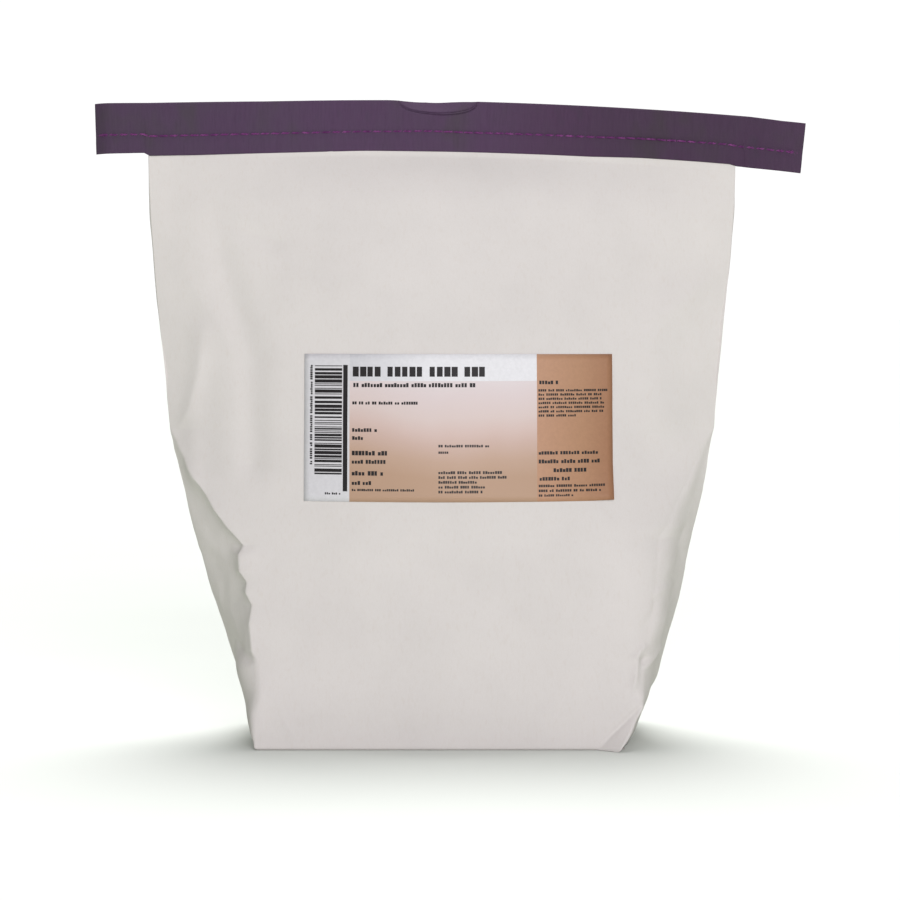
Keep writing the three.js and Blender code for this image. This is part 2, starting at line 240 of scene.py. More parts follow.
def corner_jag(height, seed):
    """How far a corner fold strays sideways at each height; without a seed, by the left front knees."""
    if seed is None:
        return np.interp(height, *zip(*LEFT_KNEES))
    rng = np.random.default_rng(seed)
    knees = np.arange(0, FILL_HEIGHT + JAG_PITCH, JAG_PITCH)
    places = knees + rng.uniform(-0.3, 0.3, len(knees)) * JAG_PITCH
    offsets = rng.uniform(-1, 1, len(knees)) * JAG_REACH
    return np.interp(height, places, offsets) * window(height, *JAG_ZONE)


def from_sides(place):
    """Distances along the paper from the sack's left side and from its right one."""
    return place, TUBE_WIDTH - place


def jagged(section, x, place, height, is_front):
    """Moves the paper beside the corner folds sideways, so that they run zigzag."""
    parts = zip(SIGNS, section.panels, from_sides(place), JAG_SEEDS[is_front])
    for sign, panel, distance, seed in parts:
        near = bell(distance - panel, JAG_SPREAD)
        near = near * smoothstep(panel, 2, 20) * smoothstep(distance, 0, 8)
        x = x + sign * corner_jag(height, seed) * near
    return x


def section_at(height):
    """The sack's girth at each height: sides, corner folds, and the bulge that the paper allows."""
    half_depth = along(HALF_DEPTH, height)
    filled = height < FILL_HEIGHT
    free = arch_chord(TUBE_WIDTH, half_depth) / 2
    sides = [np.where(filled, along(outline, height), free) for outline in SIDES]
    folds = [along(outline, height) for outline in CORNERS]
    corners = [np.where(filled, np.minimum(fold, side), side) for fold, side in zip(folds, sides)]
    chord = sum(corners)

    def panels(depth):
        return [np.hypot(side - corner, depth) for side, corner in zip(sides, corners)]

    low = np.zeros_like(half_depth)
    high = half_depth.copy()
    for _ in range(HALVINGS):
        middle = (low + high) / 2
        short = sum(panels(middle)) + arch_length(chord, half_depth - middle) < TUBE_WIDTH
        low = np.where(short, middle, low)
        high = np.where(short, high, middle)
    return Sizes(
        sides=sides,
        corners=corners,
        chord=chord,
        corner_depth=low,
        bulge=arch_height(chord, TUBE_WIDTH - sum(panels(low))),
        panels=panels(low),
    )


def face_share(section, x):
    """Where x lies between the corner folds, from -1 to 1."""
    return (2 * x - section.corners[RIGHT] + section.corners[LEFT]) / section.chord


def face_depth(section, x):
    return section.corner_depth + section.bulge * (1 - face_share(section, x) ** 2)


def paper_place(section, x):
    """Distance along the paper from the sack's left side to x on a face."""
    t = face_share(section, x)
    stretch = 8 * section.bulge**2 / (3 * section.chord**2)
    return section.panels[LEFT] + section.chord / 2 * ((t + 1) + stretch * (t**3 + 1))


def point_from_side(section, distance, which):
    """x and depth at a distance along the paper from the left side or the right one."""
    side, corner, panel = section.sides[which], section.corners[which], section.panels[which]
    share = distance / np.maximum(panel, 1e-6)
    steep = 4 * section.bulge / section.chord
    beyond = SIGNS[which] * (corner - (distance - panel) / np.hypot(1, steep))
    on_panel = distance < panel
    x = np.where(on_panel, SIGNS[which] * (side + (corner - side) * share), beyond)
    depth = np.where(on_panel, section.corner_depth * share, face_depth(section, beyond))
    return x, depth


def half_ring(section):
    """From the left side round one face to the right side: x, depth and place along the paper."""
    steps = np.arange(SIDE_STEPS) / SIDE_STEPS
    runs = [np.maximum(panel, LEAST_SIDE) for panel in section.panels]
    places = [run * share for run, share in zip(runs, (steps, steps[::-1]))]
    (left_x, left_depth), (right_x, right_depth) = (
        point_from_side(section, places[which], which) for which in (LEFT, RIGHT)
    )
    first, last = (point_from_side(section, runs[which], which)[0] for which in (LEFT, RIGHT))
    face_x = first + (last - first) * np.arange(FACE_STEPS + 1) / FACE_STEPS
    x = np.concatenate([left_x, face_x, right_x], -1)
    depth = np.concatenate([left_depth, face_depth(section, face_x), right_depth], -1)
    right_places = TUBE_WIDTH - places[RIGHT]
    return x, depth, np.concatenate([places[LEFT], paper_place(section, face_x), right_places], -1)


def soften_corners(section, x, depth, place, reaches):
    """Rounds the two corner folds of a half ring: each point becomes the mean of those around it."""
    folds = (section.panels[LEFT], TUBE_WIDTH - section.panels[RIGHT])
    shares = np.linspace(-1, 1, 2 * ROUND_STEPS + 1)[1:-1]
    weights = np.cos(np.pi / 2 * shares) ** 2 / ROUND_STEPS
    soft_x, soft_depth = x.copy(), depth.copy()
    for row, row_place in enumerate(place):
        for fold, panel, full_reach in zip(folds, section.panels, reaches):
            reach = min(full_reach[row].item(), ROUND_SHARE * panel[row].item())
            if reach < LEAST_REACH:
                continue
            near = 1 - smoothstep(np.abs(row_place - fold[row]), reach, ROUND_FADE * reach)
            around = row_place + reach * shares[:, None]
            for values, result in ((x, soft_x), (depth, soft_depth)):
                mean = weights @ np.interp(around, row_place, values[row])
                result[row] += near * (mean - values[row])
    return soft_x, soft_depth


def path_distance(path, x, z):
    """Distance to the nearest point of a path, and how far along the path that point is, from 0 to 1."""
    path = np.array(path, float)
    lengths = np.hypot(*np.diff(path, axis=0).T)
    nearest = np.full(np.broadcast(x, z).shape, np.inf)
    share = np.zeros(nearest.shape)
    walked = 0.0
    for start, end, length in zip(path, path[1:], lengths):
        run = (end - start) / length
        t = np.clip((x - start[0]) * run[0] + (z - start[1]) * run[1], 0, length)
        distance = np.hypot(x - start[0] - t * run[0], z - start[1] - t * run[1])
        closer = distance < nearest
        nearest = np.where(closer, distance, nearest)
        share = np.where(closer, (walked + t) / lengths.sum(), share)
        walked += length
    return nearest, share


def fold_depth(folds, x, z):
    depth = np.zeros(np.broadcast(x, z).shape)
    for path, radius, size in folds:
        depth += size * bell(path_distance(path, x, z)[0], radius)
    return depth


def fold_ear(points):
    """Folds the front right corner of the bottom forwards along its short crease."""
    x, y, z = np.moveaxis(points, -1, 0)
    crease = np.subtract(EAR.top, EAR.foot)
    past = -(crease[0] * (z - EAR.foot[1]) - crease[1] * (x - EAR.foot[0])) / np.hypot(*crease)
    share = smoothstep(-y, EAR.start, EAR.end) * (1 - z / EAR.top[1])
    reach = np.where((past > 0) & (z < EAR.top[1]), past * share, 0)
    return np.stack([x - reach * EAR.inward, y - reach * EAR.forward, z], -1)


def pinch_share(height):
    """How far a height follows the droop and the wave of the closed mouth."""
    return smoothstep(height, PINCH_FROM, MOUTH_HEIGHT - PINCH_SPREAD)


def wall_point(x, depth, height, is_front):
    pinch = pinch_share(height)
    folds = FRONT_FOLDS if is_front else BACK_FOLDS
    dented = np.maximum(depth - fold_depth(folds, x, height) * smoothstep(depth, *FOLDED_FROM), 0)
    y = mouth_middle(x) * pinch + (-dented if is_front else dented)
    return np.stack(np.broadcast_arrays(x, y, height - tape_drop(x) * pinch), -1)


# ---------------- creases of the paper

RASTER_HEIGHT = 440  # the unrolled sack as a raster with a cell every millimetre


def blurred(field, up_blur, round_blur):
    """A raster blurred by a Gaussian of that many rows up it and that many columns round it."""
    rows, columns = field.shape
    up = up_blur * np.fft.fftfreq(rows)[:, None]
    round_ = round_blur * np.fft.rfftfreq(columns)[None, :]
    window = np.exp(-2 * np.pi**2 * (up**2 + round_**2))
    return np.fft.irfft2(np.fft.rfft2(field) * window, s=field.shape)


def facet_field(pitch, rounding, seed):
    """Random flat facets about `pitch` wide over the unrolled sack, as heights from about -1 to 1."""
    rng = np.random.default_rng(seed)
    columns = round(GIRTH / pitch)
    rows = round(RASTER_HEIGHT / pitch) + 3
    column, row = np.meshgrid(np.arange(columns), np.arange(rows))
    jitter = rng.uniform(-0.42, 0.42, (2, rows, columns))
    places = ((column + jitter[0]) * GIRTH / columns).ravel()
    heights = ((row - 1 + jitter[1]) * pitch).ravel()
    values = rng.uniform(-1, 1, rows * columns)
    places = np.concatenate([places - GIRTH, places, places + GIRTH])
    heights = np.tile(heights, 3)
    values = np.tile(values, 3)
    near = (places > -2 * pitch) & (places < GIRTH + 2 * pitch)
    places, heights, values = places[near], heights[near], values[near]
    corners = [Vector(pair) for pair in zip(places, heights)]
    points, _, triangles, origins, _, _ = delaunay_2d_cdt(corners, [], [], 0, 1e-5)
    source = [origin[0] for origin in origins]
    field = np.zeros((RASTER_HEIGHT, int(GIRTH)))
    for triangle in triangles:
        corners = np.array([points[i] for i in triangle])
        fill_facet(field, corners, values[[source[i] for i in triangle]])
    return blurred(field, rounding, rounding)


def fill_facet(field, corners, values):
    """Writes the plane through three corners into the raster, inside their triangle."""
    low = np.maximum(np.floor(corners.min(0)).astype(int), 0)
    high = np.minimum(np.ceil(corners.max(0)).astype(int) + 1, field.shape[::-1])
    if (low >= high).any():
        return
    x, z = np.meshgrid(np.arange(low[0], high[0]), np.arange(low[1], high[1]))
    (x0, z0), (x1, z1), (x2, z2) = corners
    area = (x1 - x0) * (z2 - z0) - (x2 - x0) * (z1 - z0)
    second = ((x - x0) * (z2 - z0) - (x2 - x0) * (z - z0)) / area
    third = ((x1 - x0) * (z - z0) - (x - x0) * (z1 - z0)) / area
    inside = (second >= 0) & (third >= 0) & (second + third <= 1)
    plane = values[0] + second * (values[1] - values[0]) + third * (values[2] - values[0])
    window = field[low[1]:high[1], low[0]:high[0]]
    window[inside] = plane[inside]


def sample(field, place, height):
    """Value of a raster between its cells."""
    place, height = np.broadcast_arrays(np.mod(place, GIRTH), np.clip(height, 0, RASTER_HEIGHT - 1.001))
    column, row = place.astype(int), height.astype(int)
    across, up = place - column, height - row
    column = column % int(GIRTH)
    after = (column + 1) % int(GIRTH)
    lower = field[row, column] * (1 - across) + field[row, after] * across
    upper = field[row + 1, column] * (1 - across) + field[row + 1, after] * across
    return lower * (1 - up) + upper * up


# random facets as (pitch, rounding, seed, height on the smooth front, height on the crumpled sides)
FACETS = [
    (62, 3.0, 3, 0.80, 1.6),
    (27, 1.4, 4, 0.30, 1.15),
    (12, 0.9, 5, 0.06, 0.48),
]

# how far the sides belly out between a side and its corner fold, as (height, millimetres)
LEFT_BELLY = [
    (0, 0.5), (18, 4.2), (33, 5.6), (46, 6.6), (55, 5.4),
    (66, 0.3), (110, -2.6), (150, -2.6), (185, 0), (210, 0.6),
]
RIGHT_BELLY = [(0, 0.5), (25, 1.5), (80, 2.0), (130, 2.0), (175, 1.0), (210, 0.5)]
BACK_BELLY = [(0, 1.0), (30, 3.6), (120, 3.0), (210, 0.6)]
BELLY = Sizes(size=5.8, rise=1.9, fall=0.9)
BELLIES = {True: (LEFT_BELLY, RIGHT_BELLY), False: (BACK_BELLY, BACK_BELLY)}

CREASE_SOFTNESS = 0.35  # rounding of a crease's edge, as a share of its width
CREASE_ENDS = (-0.05, 0.3, 0.75, 1.05)  # where a crease grows and dies away, as shares of its length
CREASED_ZONE = (1, 12, 370, 394)  # heights of the sack's creased part
CRUMPLED_EDGE = (-4, 22)  # the sides' crumples end between these distances past a corner fold
UPPER_CALM = 0.72  # share of the crumples that the sides lose above the filling,
UPPER_CALM_ZONE = (FILL_HEIGHT - 30, FILL_HEIGHT + 60)  # between these heights
LOW_ROUGHNESS = 0.16  # share of the sides' crumples that the front has at its foot,
LOW_ZONE = (10, 95)  # dying away between these heights
LABEL_CALM = 0.75  # share of its creases that the paper loses under the label,
LABEL_CALM_REACH = 24.0  # and loses less of, up to this far outside it

# creases on the front as (points, height, width); a height below 0 is a valley
FRONT_CREASES = [
    ([(-163, 274), (-165, 250), (-172, 224), (-182, 208)], 1.3, 4),
    ([(-178, 326), (-171, 311), (-148, 278), (-143, 262)], 0.8, 7),
    ([(-182, 206), (-171, 178), (-166, 170)], 0.9, 3),
    ([(-142, 72), (-131, 62), (-123, 58)], -1.5, 2.2),
    ([(-134, 100), (-130, 88), (-131, 72)], 0.7, 3),
    ([(190, 326), (177, 312), (163, 298), (149, 288), (142, 272), (143, 251)], 0.7, 6),
    ([(168, 150), (160, 133), (166, 116)], -1.0, 3),
    ([(154, 141), (148, 126), (141, 112)], 0.8, 4),
    ([(140, 98), (145, 104), (152, 106)], 1.2, 2.0),
    ([(151, 118), (158, 106), (152, 92)], -0.9, 3),
    ([(125, 57), (132, 65), (138, 69)], 1.9, 2.0),
    ([(132, 65), (130, 60), (129, 48), (127, 37)], 1.9, 1.8),
    ([(134, 52), (143, 62), (148, 68)], 2.0, 2.0),
    ([(137, 62), (133, 56)], -1.7, 1.6),
    ([(112, 60), (121, 52), (124, 40)], -0.7, 3.5),
    ([(136, 33), (124, 21), (111, 9), (103, 2)], -1.5, 1.5),
    ([(131, 36), (118, 23), (106, 11)], 0.7, 3.0),
    ([(-118, 44), (-121, 22), (-119, 6)], 0.6, 3),
    ([(-112, 16), (-106, 21), (-100, 12), (-101, 3)], 0.7, 2.5),
    ([(-104, 12), (-90, 26), (-74, 31)], 0.5, 4),
    ([(60, 10), (74, 22), (80, 38)], 0.4, 4),
]
BACK_CREASES = [
    ([(-150, 150), (-140, 118), (-132, 78)], 0.9, 4),
    ([(120, 70), (130, 54), (127, 30)], 1.2, 3),
    ([(144, 96), (128, 84), (116, 88)], -0.9, 3),
    ([(-128, 40), (-112, 30), (-108, 10)], 0.9, 3),
    ([(-184, 232), (-160, 214), (-151, 180)], 0.9, 5),
    ([(40, 12), (62, 34), (68, 62)], 0.5, 4),
    ([(150, 240), (168, 226), (183, 214)], 0.8, 5),
]


def crease_height(creases, x, z):
    """Height of the sharp creases: a cusp that dies away to both sides and towards both ends."""
    height = np.zeros(np.broadcast(x, z).shape)
    for path, size, width in creases:
        away, share = path_distance(path, x, z)
        soft = CREASE_SOFTNESS * width
        rounded = np.sqrt(away**2 + soft**2) - soft
        height += size * np.exp(-rounded / width) * window(share, *CREASE_ENDS)
    return height


CRUMPLES = [(facet_field(*facets[:3]), *facets[3:]) for facets in FACETS]


def belly_shape(share):
    """A bulge from 0 at the sack's side to 0 at the corner fold, highest at two thirds of the way."""
    return BELLY.size * share**BELLY.rise * (1 - share) ** BELLY.fall


def side_belly(section, place, height, is_front):
    """How far the filled sides belly out between the sack's side and its corner folds."""
    total = 0
    for panel, distance, belly in zip(section.panels, from_sides(place), BELLIES[is_front]):
        share = np.clip(distance / np.maximum(panel, 1), 0, 1)
        total = total + along(belly, height) * smoothstep(panel, 4, 20) * belly_shape(share)
    return total


def relief(section, x, place, height, is_front):
    """How far the paper stands out from the smooth form, from its creases."""
    left, right = (distance - panel for distance, panel in zip(from_sides(place), section.panels))
    panel = 1 - smoothstep(np.minimum(left, right), *CRUMPLED_EDGE)
    panel = panel * (1 - UPPER_CALM * smoothstep(height, *UPPER_CALM_ZONE))
    low = (1 - smoothstep(height, *LOW_ZONE)) * LOW_ROUGHNESS
    rough = np.clip(panel + low, 0, 1)
    ply = place if is_front else GIRTH - place
    total = np.zeros(np.broadcast(x, height).shape)
    for field, smooth_height, crumpled_height in CRUMPLES:
        size = smooth_height + (crumpled_height - smooth_height) * rough
        total += sample(field, ply, height) * size
    total += crease_height(FRONT_CREASES if is_front else BACK_CREASES, x, height)
    total += side_belly(section, place, height, is_front)
    total *= window(height, *CREASED_ZONE)
    if is_front:
        beside = np.maximum(LABEL.left - x, x - LABEL.right)
        above = np.maximum(LABEL.bottom - height, height - LABEL.top)
        calm = 1 - smoothstep(np.maximum(beside, above), 0, LABEL_CALM_REACH)
        total *= 1 - LABEL_CALM * calm
    return total


# ---------------- meshes


def cross_normals(around, up):
    normals = np.cross(around, up)
    return normals / np.maximum(np.linalg.norm(normals, axis=-1, keepdims=True), 1e-9)


def placed(name, data):
    """A new object in the scene."""
    item = bpy.data.objects.new(name, data)
    bpy.context.scene.collection.objects.link(item)
    return item


def mesh_piece(name, points, faces, materials, slots_of_faces=None, smooth=True):
    """A mesh object in the row frame, riding on the one body."""
    mesh = bpy.data.meshes.new(name)
    mesh.from_pydata(np.asarray(points) * MM, [], faces)
    for material in materials:
        mesh.materials.append(material)
    if slots_of_faces is not None:
        mesh.polygons.foreach_set("material_index", np.array(slots_of_faces, np.int32))
    mesh.polygons.foreach_set("use_smooth", np.full(len(mesh.polygons), smooth))
    mesh.validate()
    mesh.update()
    piece = placed(name, mesh)
    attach(piece, "root")
    return piece


def grid_faces(index, closed=False):
    """Quads over a grid of vertex numbers; a closed grid joins its last column to its first."""
    if closed:
        index = np.concatenate([index, index[:, :1]], 1)
    corners = (index[:-1, :-1], index[:-1, 1:], index[1:, 1:], index[1:, :-1])
    return np.stack(corners, -1).reshape(-1, 4)


def sheet_faces(rows, columns):
    """A closed thin sheet: an outer grid, an inner grid behind it, and the four edges."""
    outer = np.arange(rows * columns).reshape(rows, columns)
    inner = outer + rows * columns
    rim = np.concatenate([outer[0, :-1], outer[:-1, -1], outer[-1, :0:-1], outer[:0:-1, 0]])
    edge = np.stack([rim, rim + rows * columns])
    return np.concatenate([grid_faces(outer), grid_faces(inner[:, ::-1]), grid_faces(edge[::-1], True)])


def sheet_piece(name, outer, inner, material, smooth=True):
    """A mesh object that is a closed thin sheet between two grids of points."""
    points = np.concatenate([outer.reshape(-1, 3), inner.reshape(-1, 3)])
    faces = sheet_faces(*outer.shape[:2])
    return mesh_piece(name, points, faces.tolist(), [material], smooth=smooth)


# ---------------- materials


def srgb(red, green, blue):
    """A colour given as 0 to 255 values, in linear light."""
    parts = np.array([red, green, blue]) / 255
    linear = np.where(parts <= 0.04045, parts / 12.92, ((parts + 0.055) / 1.055) ** 2.4)
    return (*linear, 1.0)


MIX_FIRST, MIX_SECOND, MIX_RESULT = 6, 7, 2  # a mix node's colour sockets
WHITE = (255, 255, 255)


class Nodes:
    """A node tree, with short ways to add and join its nodes."""

    def __init__(self, tree):
        self.tree = tree

    def add(self, kind, settings=None, **inputs):
        node = self.tree.nodes.new(kind)
        for key, value in (settings or {}).items():
            setattr(node, key, value)
        for key, value in inputs.items():
            self.put(node.inputs[key.replace("_", " ")], value)
        return node

    def put(self, socket, value):
        if isinstance(value, bpy.types.NodeSocket):
            self.tree.links.new(value, socket)
        else:
            socket.default_value = value


class Paint(Nodes):
    """A material in the making, from its texture coordinates to its shader."""

    def __init__(self, name, roughness, specular):
        self.material = bpy.data.materials.new(name)
        self.material.use_nodes = True
        super().__init__(self.material.node_tree)
        self.shader = self.tree.nodes["Principled BSDF"]
        self.shader.inputs["Roughness"].default_value = roughness
        self.shader.inputs["Specular IOR Level"].default_value = specular
        self.object_place = self.add("ShaderNodeTexCoord").outputs["Object"]

    def noise(self, scale, detail, roughness, stretch=None, distortion=0.0):
        """Noise from 0 to 1; scale is in features a metre, and `stretch` multiplies it on each axis."""
        place = self.object_place
        if stretch:
            place = self.add("ShaderNodeMapping", Vector=place, Scale=stretch).outputs[0]
        node = self.add(
            "ShaderNodeTexNoise",
            Vector=place,
            Scale=scale,
            Detail=detail,
            Roughness=roughness,
            Distortion=distortion,
        )
        return node.outputs["Fac"]

    def along(self, axis, low, high):
        """Place along an axis, from 0 at the low end to 1 at the high end, both in mm."""
        value = self.add("ShaderNodeSeparateXYZ", Vector=self.object_place).outputs[axis]
        return self.math("DIVIDE", self.math("SUBTRACT", value, low * MM), (high - low) * MM)

    def math(self, operation, *values):
        node = self.add("ShaderNodeMath", {"operation": operation})
        for socket, value in zip(node.inputs, values):
            self.put(socket, value)
        return node.outputs[0]

    def ramp(self, factor, *stops):
        """Colours along a factor, from (place, colour) stops."""
        node = self.add("ShaderNodeValToRGB", Fac=factor)
        elements = node.color_ramp.elements
        while len(elements) < len(stops):
            elements.new(0.5)
        for element, (place, colour) in zip(elements, stops):
            element.position = place
            element.color = srgb(*colour)
        return node.outputs["Color"]

    def mix(self, factor, first, second, blend="MIX"):
        node = self.add("ShaderNodeMix", {"data_type": "RGBA", "blend_type": blend}, Factor=factor)
        self.put(node.inputs[MIX_FIRST], first)
        self.put(node.inputs[MIX_SECOND], second)
        return node.outputs[MIX_RESULT]

    def tinted(self, colour, tint):
        return self.mix(1.0, colour, tint, "MULTIPLY")

    def bump(self, height, distance, strength, under=None):
        node = self.add("ShaderNodeBump", Height=height, Distance=distance, Strength=strength)
        if under is not None:
            self.put(node.inputs["Normal"], under)
        return node.outputs["Normal"]

    def finish(self, colour, normal=None):
        self.put(self.shader.inputs["Base Color"], colour)
        if normal is not None:
            self.put(self.shader.inputs["Normal"], normal)
        return self.material


def paper_material():
    """Bleached sack paper: faint clouds, fine fibres that lie up the sheet, a little tooth."""
    paint = Paint("sack_paper", 0.88, 0.18)
    clouds = paint.ramp(
        paint.noise(15, 4, 0.6),
        (0.30, (211, 206, 204)),
        (0.50, (214, 209, 207)),
        (0.72, (217, 212, 210)),
    )
    fibres = paint.noise(1, 5, 0.7, (1500, 1500, 500), 0.6)
    flecks = paint.noise(1, 2, 0.5, (520, 520, 200))
    colour = paint.tinted(clouds, paint.ramp(fibres, (0.30, (252, 251, 250)), (0.62, WHITE)))
    colour = paint.tinted(colour, paint.ramp(flecks, (0.28, (253, 252, 251)), (0.46, WHITE)))
    tooth = paint.bump(fibres, 0.00005, 0.35)
    cockle = paint.bump(paint.noise(110, 3, 0.5), 0.0004, 0.2, tooth)
    return paint.finish(colour, cockle)


def crepe_material():
    """Dark purple crepe paper, with painted shade that darkens its ends, most on the right; painted shade
    in the hollows of the crinkles across it leaves their tops lighter.
    """
    paint = Paint("crepe_tape", 0.84, 0.25)
    crinkle = paint.noise(1, 4, 0.6, (760, 760, 70), 0.4)
    base = paint.ramp(
        paint.noise(26, 3, 0.6, (1.0, 1.0, 0.6)),
        (0.28, (76, 65, 76)),
        (0.44, (81, 62, 85)),
        (0.58, (82, 60, 86)),
        (0.74, (73, 63, 79)),
    )
    # painted shade: the crinkles' own noise darkens the crepe's colour in their hollows, so their tops
    # read lighter
    painted_crinkle_shade = paint.ramp(
        crinkle,
        (0.28, (239, 237, 239)),
        (0.50, (249, 248, 249)),
        (0.74, WHITE),
    )
    # painted shade: the crepe's colour darkens towards its left end and more over its right part, where
    # the ends turn away from the light
    painted_end_shade = paint.ramp(
        paint.along("X", TAPE_LEFT, TAPE_RIGHT),
        (0.00, (241, 243, 243)),
        (0.18, (245, 248, 248)),
        (0.33, (252, 253, 255)),
        (0.56, (251, 250, 253)),
        (0.64, (240, 234, 238)),
        (0.72, (228, 226, 226)),
        (0.93, (226, 224, 224)),
        (1.00, (236, 232, 234)),
    )
    fleece = paint.noise(1, 3, 0.6, (2600, 2600, 900))
    normal = paint.bump(crinkle, 0.00028, 0.45, paint.bump(fleece, 0.00008, 0.6))
    return paint.finish(paint.tinted(paint.tinted(base, painted_crinkle_shade), painted_end_shade), normal)


def thread_material():
    """Purple cotton thread, a little hairy, paler on its crowns."""
    paint = Paint("cotton_thread", 0.7, 0.3)
    colour = paint.ramp(
        paint.noise(240, 2, 0.5),
        (0.35, (92, 38, 94)),
        (0.50, (110, 48, 109)),
        (0.68, (138, 74, 135)),
    )
    return paint.finish(colour, paint.bump(paint.noise(5200, 2, 0.6), 0.00008, 0.6))


LABEL_GLOSS = (0.5, 0.3)  # roughness and specular level


def satin(paint):
    """The very slight waviness of a label's coated paper."""
    return paint.bump(paint.noise(90, 2, 0.5), 0.0004, 0.12)


def print_material(name, *stops):
    """A printed field on satin label paper: colours across the label, and faintly uneven ink."""
    paint = Paint(name, *LABEL_GLOSS)
    if len(stops) == 1:
        stops = (*stops, (1.0, stops[0][1]))
    tone = paint.ramp(paint.along("X", LABEL.left, LABEL.right), *stops)
    ink = paint.ramp(paint.noise(420, 3, 0.6), (0.35, (248, 248, 248)), (0.65, WHITE))
    return paint.finish(paint.tinted(tone, ink), satin(paint))


MIST_REACH = 0.42  # the scenery is darker up to this share of the label's width,
MIST_LEAN = 0.12  # as much as if it lay lower by this share of the label's height,
MIST_SWIRL = 0.12  # and wavers by this share


def scenery_material():
    """The label's middle field: pinkish lilac above, tan below and down the left, like mist."""
    paint = Paint("label_scenery", *LABEL_GLOSS)
    rise = paint.along("Z", LABEL.bottom, LABEL.top)
    lit = paint.math("MINIMUM", paint.along("X", LABEL.left, LABEL.right), MIST_REACH)
    level = paint.math("MULTIPLY_ADD", lit, MIST_LEAN / MIST_REACH, rise)
    level = paint.math("MULTIPLY_ADD", paint.noise(1, 2, 0.5, (22, 22, 9)), MIST_SWIRL, level)
    colour = paint.ramp(
        paint.math("DIVIDE", level, 1 + MIST_LEAN + MIST_SWIRL),
        (0.27, (179, 147, 124)),
        (0.37, (187, 157, 138)),
        (0.46, (197, 170, 159)),
        (0.53, (205, 182, 175)),
        (0.61, (210, 193, 189)),
        (0.73, (213, 199, 199)),
        (0.83, (216, 206, 208)),
    )
    return paint.finish(colour, satin(paint))


def floor_material():
    """A white floor that throws back less light than it shows, as if black flags stood round it."""
    paint = Paint("pale_floor", 0.9, 0.0)
    shown = paint.ramp(paint.noise(3, 2, 0.5), (0.3, (233, 236, 232)), (0.7, (235, 238, 234)))
    is_seen = paint.add("ShaderNodeLightPath").outputs["Is Camera Ray"]
    return paint.finish(paint.mix(is_seen, srgb(*FLOOR_BOUNCE), shown))


PAPER = paper_material()
CREPE = crepe_material()
THREAD = thread_material()

# ---------------- the sack

BOTTOM_LIFT = 0.7  # the bottom's folded flaps are below this height
BOTTOM_INSET = 3.5  # how far in from the walls the raised bottom starts
EDGE_RINGS = 4
EDGE_LIFT = 0.04
RING_LAST = 2 * SIDE_STEPS + FACE_STEPS  # number of a ring's point at the right side

# how far the corner folds are rounded in front and behind: (height, reach) pairs, left and right
CORNER_REACHES = {
    True: ([(0, 2.2)], [(30, 4), (80, 32), (120, 34)]),
    False: ([(0, 7)], [(0, 7)]),
}
PINCH_ROWS = 8
PINCH_DEPTH = 9.0  # how far up into the tape the paper is made


def sack_walls():
    """Rings of points from the bottom edge to the tape, with their creases."""
    wall_rows = round((MOUTH_HEIGHT - PINCH_SPREAD - BASE_EDGE) / ROW_PITCH)
    heights = np.linspace(BASE_EDGE, MOUTH_HEIGHT - PINCH_SPREAD, wall_rows + 1)[:, None]
    section = section_at(heights)
    halves, reliefs = [], []
    for is_front in (True, False):
        x, depth, place = half_ring(section)
        x = jagged(section, x, place, heights, is_front)
        reaches = [np.interp(heights, *zip(*reach)) for reach in CORNER_REACHES[is_front]]
        x, depth = soften_corners(section, x, depth, place, reaches)
        halves.append(wall_point(x, depth, heights, is_front))
        reliefs.append(relief(section, x, place, heights, is_front))
    points, stand = (np.concatenate([front, back[:, -2:0:-1]], 1) for front, back in (halves, reliefs))
    around = np.roll(points, -1, 1) - np.roll(points, 1, 1)
    normals = cross_normals(around, np.gradient(points, axis=0))
    return fold_ear(points + normals * stand[..., None])


def sack_edge(first_ring):
    """Rings that round the wall's lower edge under and step up to the recessed bottom."""
    rings = []
    for step in range(EDGE_RINGS):
        angle = math.pi / 2 * step / EDGE_RINGS
        inset = BASE_EDGE * (1 - math.sin(angle))
        ring = first_ring * (1 - inset / (BASE_DEPTH / 2))
        ring[:, 2] = BASE_EDGE * (1 - math.cos(angle)) + EDGE_LIFT
        rings.append(ring)
    inner = first_ring * (1 - BOTTOM_INSET / (BASE_DEPTH / 2))
    inner[:, 2] = BOTTOM_LIFT
    return np.array([inner, *rings])


def pinch_rings():
    """The plies pinched together inside the tape."""
    section = section_at(np.array([[MOUTH_HEIGHT]]))
    x = half_ring(section)[0][0]
    thick = np.full(len(x), PAPER_HALF)
    thick[[0, -1]] = 0
    rings = []
    for share in np.arange(PINCH_ROWS + 1) / PINCH_ROWS:
        below = TAPE_HEIGHT - PINCH_DEPTH * share
        front = mouth_point(x, below, -thick)
        back = mouth_point(x, below, thick)
        rings.append(np.concatenate([front, back[-2:0:-1]]))
    return np.array(rings)


